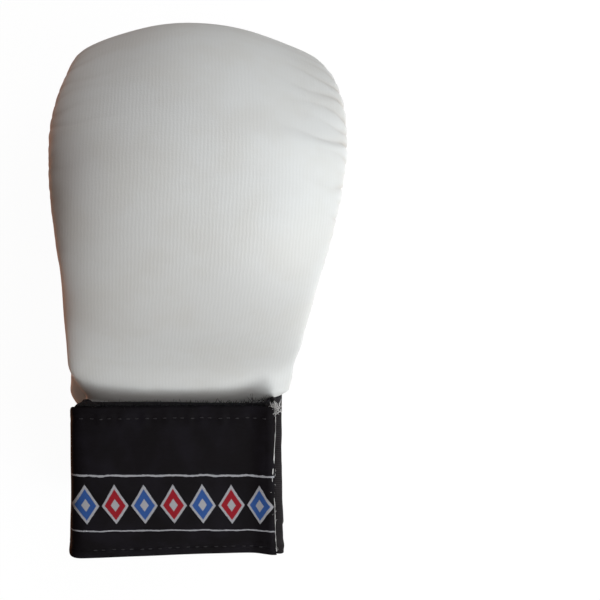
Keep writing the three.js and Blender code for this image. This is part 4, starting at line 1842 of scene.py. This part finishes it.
def hem_row(angle: Array) -> tuple[Array, Array]:
    """The seam row of the cheek's hem at an angle, and how far it counts there, 0 to 1.

    Args:
        angle: degrees round the sleeve.

    Returns:
        The row, and how far it counts.
    """
    near = side_angle(angle)
    row = np.interp(near, UNDER_HEM.column("angle"), UNDER_HEM.column("seam"))
    return row, 1 - smoothstep(near, 32.5, 35.5)


@dataclass
class SleeveWall(ClothWall):
    """A piece of the sleeve's tube."""

    slot: Slot = Slot.LEATHERETTE
    finish: Finish = SMOOTH_SKIN

    def place(self, f: Array, g: Array) -> tuple[Array, Array]:
        """Seam row and angle at shares along and across."""
        raise NotImplementedError

    def surface(self, f: Array, g: Array, depth: Array | float) -> Array:
        """The sleeve's tube there."""
        row, angle = self.place(f, g)
        return FORM.sleeve(row, angle, depth + self.tuck(row, angle))

    def tuck(self, row: Array, angle: Array) -> Array:
        """How deep the piece is tucked in under its neighbours."""
        return 0.0 * row

    def sew_line(self, name: str, line: Callable[[Array], tuple[Array, Array]]) -> None:
        """Sews a row of white stitches along a line of the piece.

        Args:
            name: the row's name.
            line: shares along and across, from a share of the line.
        """
        pitch, length = 3.0, 1.9
        t = np.linspace(0, 1, 1200)
        run = run_length(self.outer(*line(t)))
        at = np.interp(np.arange(pitch / 2, run[-1], pitch), run, t)
        point, _, normal = on_surface(self.outer, *line(at))
        ahead = self.outer(*line(at + 1e-3)) - self.outer(*line(at - 1e-3))
        Stitching(name, length, 0.55, 0.26, WHITE_THREAD, self.slot).sew(point, ahead, normal)


@dataclass
class SidePanel(SleeveWall):
    """The leatherette cheek of the sleeve between the side seam and its folded hem."""

    side: int = 1
    cells: tuple[int, int] = (150, 76)
    hem_width: float = 5.4
    foot_width: float = 3.4

    def place(self, f: Array, g: Array) -> tuple[Array, Array]:
        """From the heel to the finger strap, and from the seam to the hem.

        Args:
            f: shares along the piece.
            g: shares across it.

        Returns:
            Seam rows and angles.
        """
        low, high = HEM.rows[0][0] - 0.08, HEM.rows[-1][0]
        at_hem = STRAP_EDGES.flowing("angle", "heel_high", HEM.rows[0][1])
        slant = at_hem - STRAP_EDGES.flowing("angle", "heel_high", 0)
        row = mix(low, high, f)
        angle = mix(FIRST_ANGLE, HEM.flowing("seam", "angle", row), g)
        return row + slant * g * (1 - f), angle if self.side > 0 else 180 - angle

    def relief(self, spot: Spot) -> Array:
        """A puffed cheek, with sewn grooves along the hem and above the heel.

        Args:
            spot: places on the piece.

        Returns:
            Millimetres outwards.
        """
        hem, foot = spot.last - self.hem_width, spot.start - self.foot_width
        groove = 0.22 * bump(hem, 0.9) + 0.22 * bump(foot, 0.8)
        dimple = 0.06 * np.cos(spot.start * TAU / 3.0) * bump(hem, 1.2)
        puff = 0.45 * smoothstep(hem, 0, 7) * smoothstep(foot, 0, 7) * smoothstep(spot.first, 0, 5)
        welt = 0.16 * bump(hem + self.hem_width * 0.55, 1.8)
        welt = welt + 0.22 * bump(foot + self.foot_width * 0.55, 1.2)
        tucks = 0.28 * waves(spot.start, spot.first * 0.25, 41 + self.side, 5, 9)
        tucks = tucks * bump(spot.first, 2.5)
        soft = 0.16 * waves(spot.start, spot.first, 43 + self.side, 14, 34)
        return puff + welt - groove - dimple + tucks + soft

    def folds(self, spot: Spot) -> Array:
        """Shade in the sewn grooves.

        Args:
            spot: places on the piece.

        Returns:
            The shade.
        """
        hem, foot = spot.last - self.hem_width, spot.start - self.foot_width
        edge = 0.5 * smoothstep(1.2 - spot.first, 0, 1.2)
        return np.clip(0.12 * bump(hem, 0.5) + 0.14 * bump(foot, 0.45) + edge, 0, 1)

    def sew(self) -> None:
        """Sews the hem and the seam to the heel panel."""
        word = "right" if self.side > 0 else "left"

        def hem(t: Array) -> tuple[Array, Array]:
            """Along the hem.

            Args:
                t: share of the line.

            Returns:
                Shares along and across.
            """
            f = mix(0.05, 0.93, t)
            _, _, across = self.ruler
            width = np.interp(f, np.linspace(0, 1, len(across)), across)
            return f, np.maximum(1 - self.hem_width / width, 0.03)

        def foot(t: Array) -> tuple[Array, Array]:
            """Along the seam to the heel panel.

            Args:
                t: share of the line.

            Returns:
                Shares along and across.
            """
            g = mix(0.04, 0.8, t)
            _, along, _ = self.ruler
            return self.foot_width / np.interp(g, np.linspace(0, 1, len(along)), along), g

        self.sew_line(f"hem_stitches_{word}", hem)
        self.sew_line(f"heel_seam_stitches_{word}", foot)


@dataclass
class HeelPanel(SleeveWall):
    """The leatherette panel over the heel of the hand, down into the cuff."""

    name: str = "heel_panel_cloth"
    node: str = "heel_panel"
    cells: tuple[int, int] = (130, 170)
    sewn: float = 5.0

    def place(self, f: Array, g: Array) -> tuple[Array, Array]:
        """From inside the cuff to the palm strap, and from seam to seam."""
        angle = mix(FIRST_ANGLE, 180 - FIRST_ANGLE, g)
        return mix(FIRST_ROW + 0.1, self.top(angle), f), angle

    def under_cheek(self, angle: Array) -> Array:
        """1 at the angles that the cheeks cover, 0 on the palm."""
        return 1 - smoothstep(side_angle(angle), 30, 33)

    def top(self, angle: Array) -> Array:
        """The seam row of its edge at the straps, which runs on under the cheeks."""
        return STRAP_EDGES.flowing("angle", "heel_high", angle) + 0.12 * self.under_cheek(angle)

    def tuck(self, row: Array, angle: Array) -> Array:
        """Under the cheeks."""
        return 1.3 * self.under_cheek(angle) * smoothstep(row - self.top(angle), -0.26, -0.06)

    def relief(self, spot: Spot) -> Array:
        """Broad soft folds that run down to the wrist, and a puffed edge at the straps.

        Args:
            spot: places on the piece.

        Returns:
            Millimetres outwards.
        """
        side = np.abs(spot.g - 0.5) * 2
        ridge = 0.8 * bump(side - 0.62 - 0.08 * np.sin(spot.f * 4), 0.09)
        ridge = ridge * smoothstep(spot.f, 0.15, 0.4)
        hollow = 0.5 * bump(side - 0.80, 0.06) * smoothstep(spot.f, 0.2, 0.5)
        wrist = 0.55 * waves(spot.first, spot.start * 0.35, 51, 12, 26)
        wrist = wrist * smoothstep(spot.f, 0.55, 0.2)
        soft = 0.3 * waves(spot.first, spot.start, 52, 18, 45)
        edge = 0.3 * bump(spot.end - 2.4, 1.6) - 0.3 * bump(spot.end - self.sewn, 0.8)
        tucks = 0.22 * waves(spot.start, spot.first * 0.3, 53, 5, 10) * bump(spot.near_side(), 2.5)
        over_cuff = smoothstep(spot.f, 0.28, 0.42)
        lift = (ridge - hollow + soft + edge + tucks) * over_cuff
        return lift + wrist * smoothstep(spot.f, 0.2, 0.3) * 0.6

    def folds(self, spot: Spot) -> Array:
        """Shade in the sewn edges."""
        groove = 0.45 * bump(spot.end - self.sewn, 0.6)
        return groove + 0.45 * smoothstep(1.2 - spot.near_side(), 0, 1.2)


@dataclass
class Strap(SleeveWall):
    """A band of elastic across the palm."""

    low: str = "palm_low"
    high: str = "palm_high"
    from_angle: float = 28.0
    thickness: float = 2.0
    finish: Finish = BAND_ELASTIC
    slot: Slot = Slot.ELASTIC
    zigzag_step: float = 2.1
    zigzag_swing: float = 0.6

    def place(self, f: Array, g: Array) -> tuple[Array, Array]:
        """From its edge at the wrist to its edge at the fingers, and from end to end."""
        angle = mix(self.from_angle, 180 - self.from_angle, g)
        return mix(self.wrist_edge(angle), STRAP_EDGES.flowing("angle", self.high, angle), f), angle

    def wrist_edge(self, angle: Array) -> Array:
        """The seam row of its edge at the wrist, which runs on under the leatherette.

        Args:
            angle: degrees round the sleeve.

        Returns:
            The seam row.
        """
        low = STRAP_EDGES.flowing("angle", self.low, np.clip(angle, 0, 180))
        if self.low == "palm_low":
            return low - 0.28
        hem, counts = hem_row(angle)
        return low - counts * np.maximum(low - hem + 0.4, 0)

    def tuck(self, row: Array, angle: Array) -> Array:
        """Under the cheeks' hem, and at the palm strap under the heel panel.

        Args:
            row: rows of the seam table.
            angle: degrees round the sleeve.

        Returns:
            Millimetres inwards.
        """
        if self.low == "palm_low":
            low = STRAP_EDGES.flowing("angle", self.low, angle)
            heel = 1 - smoothstep(row - low, -0.12, 0.16)
            cheek = 1 - smoothstep(side_angle(angle), 32.6, 36.0)
            return 2.5 * np.maximum(heel, cheek)
        hem, counts = hem_row(angle)
        return 2.5 * counts * (1 - smoothstep(row - hem, -0.04, 0.26))

    def relief(self, spot: Spot) -> Array:
        """Selvedges a little raised, and a soft sag."""
        near = np.minimum(spot.start, spot.end)
        return 0.14 * bump(near - 1.3, 0.7) + 0.15 * waves(spot.first, spot.start, 61, 14, 30)

    def zigzag(self, name: str, angle: float) -> None:
        """Sews a white zigzag across the strap where its end is turned over.

        Args:
            name: the thread's name.
            angle: where round the sleeve.
        """
        first, last = 0.03, 0.97
        f = np.linspace(first, last, 200)
        g = (angle - self.from_angle) / (180 - 2 * self.from_angle)
        count = int(run_length(self.outer(f, 0 * f + g))[-1] / self.zigzag_step)
        t = np.linspace(0, count, count * 6 + 1)
        width = float(self.ruler[2][len(self.ruler[2]) // 2])
        swing = self.zigzag_swing * (2 * np.abs(2 * ((t / 2) % 1) - 1) - 1) / width
        at = mix(first, last, t / count)
        point, _, normal = on_surface(self.outer, at, g + swing + 0.01 * np.sin(at * 3))
        hand = FORM.seam_frame(np.array(12.0))[0]
        normal = normal * np.sign((normal * (point - hand)).sum(-1, keepdims=True))
        rise = 0.34 * np.cos(t * TAU) - 0.04
        mesh = SoftMesh()
        mesh.tube(point + normal * rise[:, None], 0.25, 6)
        mesh.build(name, WHITE_THREAD, Slot.ELASTIC)


@dataclass
class WristCuff:
    """The wide elastic loop, its standing seam and the frayed ends of its threads."""

    name: str = "wrist_elastic"
    thickness: float = 2.4
    rows: int = 96
    columns: int = 260
    # How far the inner wall leans in at the rim behind the pad, and more at its left corner.
    lip: float = 2.6
    corner_lip: float = 4.2

    def band(self, along: Array, place: Array, lift: Array | float) -> Array:
        """The loop with the small waves of stretched elastic."""
        wave = 0.16 * waves(place * 12, along * 70, 71, 16, 40)
        return FORM.cuff(along, place, wave + lift)

    def build(self) -> bpy.types.Object:
        """Makes the loop with rounded rims.

        Returns:
            The piece.
        """
        count = len(CUFF_LOOP.rows)
        along = edge_steps(CUFF_LENGTH, self.rows, self.thickness / 2)
        place = np.linspace(0, count, self.columns, endpoint=False)
        f, t = np.meshgrid(along, place, indexing="ij")
        curl = rounding(np.minimum(f, 1 - f) * CUFF_LENGTH, self.thickness / 2)
        behind_pad = smoothstep(t, 8.3, 9.5) * (1 - smoothstep(t, 12.4, 13.4))
        lip = self.lip + self.corner_lip * bump(t - 11.2, 0.8)
        lip = lip * behind_pad * (1 - smoothstep(f, 0.0, 0.10))
        outer = self.band(f, t, -curl)
        inner = self.band(f, t, curl - self.thickness - lip)
        u = np.broadcast_to(run_length(outer[len(along) // 2])[None], f.shape)
        cloth = np.stack([u, f * CUFF_LENGTH], -1)
        mesh = SoftMesh()
        # The fold shade paints a line of shade along the valley in the loop's side.
        outside, inside = mesh.add(outer, cloth, bump(t - 6.35, 0.45)), mesh.add(inner, cloth)
        inside[[0, -1]] = outside[[0, -1]]
        mesh.tile(outside, loop=True)
        mesh.tile(inside, flip=True, loop=True)
        piece = mesh.build(self.name, CUFF_ELASTIC, Slot.ELASTIC)
        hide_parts("cuff")
        return piece

    def fray(self) -> None:
        """Adds the loose thread along the standing seam, and the fluff and fuzz at the rim."""
        random = np.random.default_rng(5)
        t = np.linspace(0.03, 0.93, 150)
        run = t * CUFF_LENGTH
        x = 39.5 + 0.26 * waves(run, 0 * t, 81, 4, 19) - 0.8 * bump(t - 0.34, 0.14)
        h = 40.0 + 0.2 * waves(run, 0 * t, 82, 3, 11)
        thread, fluff, fuzz = SoftMesh(), SoftMesh(), SoftMesh()
        broken = 0.06 + 0.09 * np.clip(waves(run, 0 * t, 83, 2, 7) + 0.6, 0, 1.4)
        thread.tube(FORM.cuff_offset(t, x, h, -0.6, 0), broken + 0.17 * bump(t - 0.31, 0.10), 6)
        for _ in range(36):
            parts = [random.uniform(*part) for part in ((0.0, 0.05), (0.2, 0.8), (0.9, 0.94))]
            at = random.choice(parts)
            start = self.root(at, random.uniform(39.0, 39.9), 39.6, -0.6)
            self.fibre(thread, start, random, random.uniform(0.8, 2.0), 0.07)
        for _ in range(90):
            at, x0 = random.uniform(-0.02, 0.035), random.triangular(37.4, 40.2, 42.4)
            start = self.root(max(at, 0), x0, 39.6)
            start[1] += random.uniform(-1.2, 0.9)
            self.fibre(fluff, start, random, random.uniform(0.8, 2.6), random.uniform(0.06, 0.15))
        for _ in range(760):
            x0 = random.uniform(-41.0, 37.5)
            start = self.root(0.0, x0, random.uniform(35.4, 37.9))
            start[1] += 0.2
            length = random.uniform(0.6, 1.6) * float(1 + 1.2 * bump(x0 - 33.0, 5.0))
            self.fibre(fuzz, start, random, length, 0.085)
        thread.build("loose_seam_thread", WHITE_THREAD, Slot.ELASTIC)
        fluff.build("frayed_threads", WHITE_FLUFF, Slot.ELASTIC)
        fuzz.build("rim_fuzz", BLACK_FLUFF, Slot.ELASTIC)

    @staticmethod
    def root(along: float, x: float, h: float, longer: float = 0.0) -> Array:
        """The point in the cuff's frame where a fibre starts."""
        return FORM.cuff_offset(*map(np.array, (along, x, h)), longer, 0)

    @staticmethod
    def fibre(
        mesh: SoftMesh, start: Array, random: np.random.Generator, length: float, radius: float
    ) -> None:
        """Adds one short curled fibre that grows up and towards the hand.

        Args:
            mesh: where it goes.
            start: where it grows from.
            random: the source of its heading and curl.
            length: its length.
            radius: its radius at the foot.
        """
        heading = unit(random.normal(0, 1, 3) * [0.8, 0.6, 0.35] + [0.0, 0.55, 0.35])
        curl = random.normal(0, 1, 3) * 0.5
        t = np.linspace(0, 1, 5)[:, None]
        path = start + heading * t * length + curl * t**2 * length * 0.6
        path[:, 2] = np.maximum(path[:, 2], radius)
        mesh.tube(path, radius * np.array([1, 1, 0.9, 0.7, 0.35]), 4)


@dataclass
class StandingSeam(ClothWall):
    """The two raw ends of the loop, which stand up beside the label, sewn together."""

    name: str = "standing_seam"
    node: str = "cuff"
    finish: Finish = SEAM_ELASTIC
    slot: Slot = Slot.ELASTIC
    thickness: float = 2.0
    cells: tuple[int, int] = (130, 90)

    def surface(self, f: Array, g: Array, depth: Array | float) -> Array:
        """A flat ridge along the cuff, wider at its free end.

        Args:
            f: shares along the piece.
            g: shares across it.
            depth: how far under its outer face.

        Returns:
            The points.
        """
        f, g, depth = np.broadcast_arrays(f, g, depth)
        wave = 0.2 * waves(f * CUFF_LENGTH, g * 12, 92, 6, 24)
        x, h = SEAM_LINE.beside(g * (len(SEAM_LINE.rows) - 1), wave - depth)
        fall = 3.2 * f * (1 - smoothstep(g, 0.1, 0.55))
        return FORM.cuff_offset(f, x, h - fall, -0.6, 0)


@dataclass
class WovenLabel(ClothWall):
    """The satin label that wraps the back of the cuff."""

    name: str = "satin_label"
    node: str = "cuff_label"
    thickness: float = 0.9
    cells: tuple[int, int] = (130, 170)
    finish: Finish = LabelSatin()
    slot: Slot = Slot.LABEL
    lift: float = 1.3
    top_stitch: float = 3.7
    low_stitch: float = 7.4

    def surface(self, f: Array, g: Array, depth: Array | float) -> Array:
        """Over the cuff's back, from the standing seam round the left edge.

        Args:
            f: shares along the piece.
            g: shares across it.
            depth: how far under its outer face.

        Returns:
            The points.
        """
        f, g, depth = np.broadcast_arrays(f, g, depth)
        fine = np.linspace(0, len(LABEL_LINE.rows) - 1, 600)
        run = run_length(np.stack([LABEL_LINE.smooth(name, fine) for name in ("x", "h")], -1))
        place = np.interp(g * run[-1], run, fine)
        longer, lower = (LABEL_LINE.smooth(name, place) for name in ("longer", "lower"))
        x, h = LABEL_LINE.beside(place, self.lift - depth)
        start = 0.006 + 0.0026 * waves(g * 82, 0 * g, 103, 6, 26)
        return FORM.cuff_offset(mix(start, 0.988, f), x, h, longer, lower)

    def relief(self, spot: Spot) -> Array:
        """Broad puckers, and two sewn grooves.

        Args:
            spot: places on the piece.

        Returns:
            Millimetres outwards.
        """
        top, low = spot.start - self.top_stitch, spot.end - self.low_stitch
        soft = 0.176 * waves(spot.first, spot.start, 101, 18, 40)
        pucker = 0.12 * waves(spot.first, spot.start * 0.2, 102, 4, 8)
        pucker = pucker * (bump(top, 2.2) + bump(low, 2.2))
        return soft - 0.22 * (bump(top, 0.8) + bump(low, 0.8)) + pucker

    def sew(self) -> None:
        """Sews its two rows of dashes."""
        _, along, across = self.ruler
        length, width = float(along.mean()), float(across.mean())
        for word, f, first, last in (
            ("top", self.top_stitch / length, 0.045, 0.915),
            ("low", 1 - self.low_stitch / length, 0.07, 0.885),
        ):
            g = np.arange(width * first, width * last, 3.9) / width
            g = g + 0.004 * np.sin(np.arange(len(g)) * 2.3)
            places = on_surface(self.outer, np.full(len(g), f), g)
            name = f"label_stitches_{word}"
            Stitching(name, 1.6, 0.5, 0.26, BLACK_THREAD, self.slot).sew(*places)


# ---------------------------------------------------------------------------------------------
# The studio.
# ---------------------------------------------------------------------------------------------


LAMP_NAMES = (
    "key_fingers", "key_wrist", "high_right", "high_fingers", "steep_wrist", "mid_wrist",
    "table_glow_palm", "warm_table_left", "table_glow_right",
)
# Each lamp's place and size in metres, its power in watts and its colour.
LAMPS = Table(
    "x y z length width power red green blue",
    (
        (0.62, 0.60, 0.46, 0.7, 0.4, 3.3, 0.89, 0.97, 1.0),
        (0.60, -0.62, 0.50, 0.7, 0.4, 4.4, 0.89, 0.97, 1.0),
        (0.75, 0.05, 0.75, 0.6, 0.4, 1.4, 0.93, 0.98, 1.0),
        (0.3, 0.62, 0.75, 0.6, 0.4, 2.7, 0.95, 0.97, 1.0),
        (0.4, -0.45, 0.8, 0.6, 0.3, 1.2, 0.96, 0.98, 1.0),
        (0.45, -0.80, 0.45, 0.6, 0.3, 2.7, 0.96, 0.95, 0.94),
        (0.22, -0.05, -0.5, 0.6, 0.4, 1.2, 1.0, 0.98, 0.98),
        (-0.35, 0.0, -0.33, 0.7, 0.3, 0.6, 1.0, 0.37, 0.17),
        (0.45, 0.0, -0.28, 0.8, 0.3, 0.95, 1.0, 0.99, 0.98),
    ),
)


@dataclass
class Studio:
    """A pale floor, soft lights and the camera.

    The eye and the point it aims at are in the source's millimetres. The focal length, the
    image's width and the point under the aim are in pixels of the image.
    """

    focal: float = 1290.4
    eye: tuple[float, float, float] = (-8.1, 55.35, 571.7)
    aim: tuple[float, float, float] = (-8.1, -3.55, 55.0)
    aim_point: tuple[float, float] = (177.3, 307.04)
    shift: float = 0.08
    image: float = 600.0
    sensor: float = 36.0
    sky: tuple[float, float, float, float] = (1.0, 0.76, 0.64, 1.0)
    sky_strength: float = 0.115

    def camera(self) -> None:
        """Places the camera above the back of the hand, turned so that the glove is on the left."""
        data = bpy.data.cameras.new("camera")
        data.sensor_width = self.sensor
        data.lens = self.focal / self.image * self.sensor
        data.shift_x = self.shift
        data.clip_end = 20.0
        camera = bpy.data.objects.new("camera", data)
        eye, aim = (Vector(PLACE(np.array(point))) for point in (self.eye, self.aim))
        look = (aim - eye).normalized()
        side = look.cross(Vector((0, 1, 0))).normalized()
        right = (0.5 - self.shift) * self.image - self.aim_point[0]
        above = self.aim_point[1] - self.image / 2
        look = (look + (side * right + side.cross(look) * above) / self.focal).normalized()
        side = look.cross(Vector((0, 1, 0))).normalized()
        turned = Matrix((side, side.cross(look), -look)).transposed()
        camera.matrix_world = Matrix.Translation(eye) @ turned.to_4x4()
        bpy.context.scene.collection.objects.link(camera)
        bpy.context.scene.camera = camera

    def light(self, name: str, row: dict[str, float]) -> None:
        """Adds a soft oblong light that faces the glove, with its length level.

        Args:
            name: its name.
            row: its row of the table.
        """
        data = bpy.data.lights.new(name, "AREA")
        data.shape = "RECTANGLE"
        data.size, data.size_y = row["length"], row["width"]
        data.energy, data.color = row["power"], (row["red"], row["green"], row["blue"])
        place = Vector((row["x"], row["y"], row["z"]))
        lamp = bpy.data.objects.new(name, data)
        aim = Vector((0.0, 0.0, 0.06)) - place
        lamp.rotation_euler = aim.to_track_quat("-Z", "Y").to_euler()
        lamp.location = place
        lamp.visible_camera = False
        bpy.context.scene.collection.objects.link(lamp)

    @staticmethod
    def paper(paper: StudioPaper) -> bpy.types.Object:
        """Dresses the shape that was just added, which sends no light to the glove.

        Args:
            paper: its finish.

        Returns:
            The shape.
        """
        piece = bpy.context.object
        piece.name = paper.name
        piece.data.materials.append(paper.material())
        piece.visible_diffuse = piece.visible_glossy = piece.visible_shadow = False
        return piece

    def floor(self) -> None:
        """Lays the pale floor, with a round backdrop."""
        bpy.ops.object.select_all(action="DESELECT")
        bpy.ops.mesh.primitive_plane_add(size=6.0, location=(0, 0, -0.0002))
        floor = self.paper(StudioPaper())
        floor.data.transform(floor.matrix_world)
        floor.matrix_world = Matrix.Identity(4)
        bpy.ops.object.select_all(action="DESELECT")
        bpy.ops.mesh.primitive_uv_sphere_add(segments=64, ring_count=32, radius=8.0)
        backdrop = self.paper(StudioPaper("studio_backdrop", (0.0, 0.0, 0.0), 0.985))
        backdrop.data.flip_normals()
        backdrop.data.shade_smooth()

    def build(self) -> None:
        """Sets the floor, the lights, the sky and the camera."""
        self.camera()
        self.floor()
        for name, row in zip(LAMP_NAMES, LAMPS.rows):
            self.light(name, dict(zip(LAMPS.columns.split(), row)))
        world = bpy.data.worlds.new("studio_air")
        world.use_nodes = True
        sky = world.node_tree.nodes["Background"]
        sky.inputs["Color"].default_value = self.sky
        sky.inputs["Strength"].default_value = self.sky_strength
        bpy.context.scene.world = world
        bpy.context.scene.view_settings.view_transform = "Standard"


def declare(piece: bpy.types.Object, wall: ClothWall) -> None:
    """Works out a sewn piece's flat area, which is not used."""
    wall.flat_area()


def main() -> None:
    """Builds the glove piece by piece, then the studio."""
    logging.basicConfig(level=logging.INFO, format="%(name)s %(message)s")
    Studio().build()
    cushion = BackCushion()
    cushion.build()
    cushion.sew()
    Lining().build()
    FingerRoll().build()
    heel = HeelPanel()
    declare(heel.build(), heel)
    for side, word in ((1, "right"), (-1, "left")):
        panel = SidePanel(name=f"cheek_{word}", node=f"side_panel_{word}", side=side)
        declare(panel.build(), panel)
        panel.sew()
    finger = Strap(
        name="finger_elastic", node="finger_strap", cells=(80, 190),
        low="finger_low", high="finger_high", from_angle=FIRST_ANGLE,
    )
    declare(finger.build(), finger)
    finger.zigzag("strap_zigzag_right", 50.0)
    finger.zigzag("strap_zigzag_left", 130.0)
    palm = Strap(name="palm_elastic", node="palm_strap", cells=(70, 130))
    declare(palm.build(), palm)
    cuff = WristCuff()
    cuff.build()
    ends = StandingSeam()
    declare(ends.build(), ends)
    cuff.fray()
    label = WovenLabel()
    declare(label.build(), label)
    label.sew()


if __name__ == "__main__":
    main()
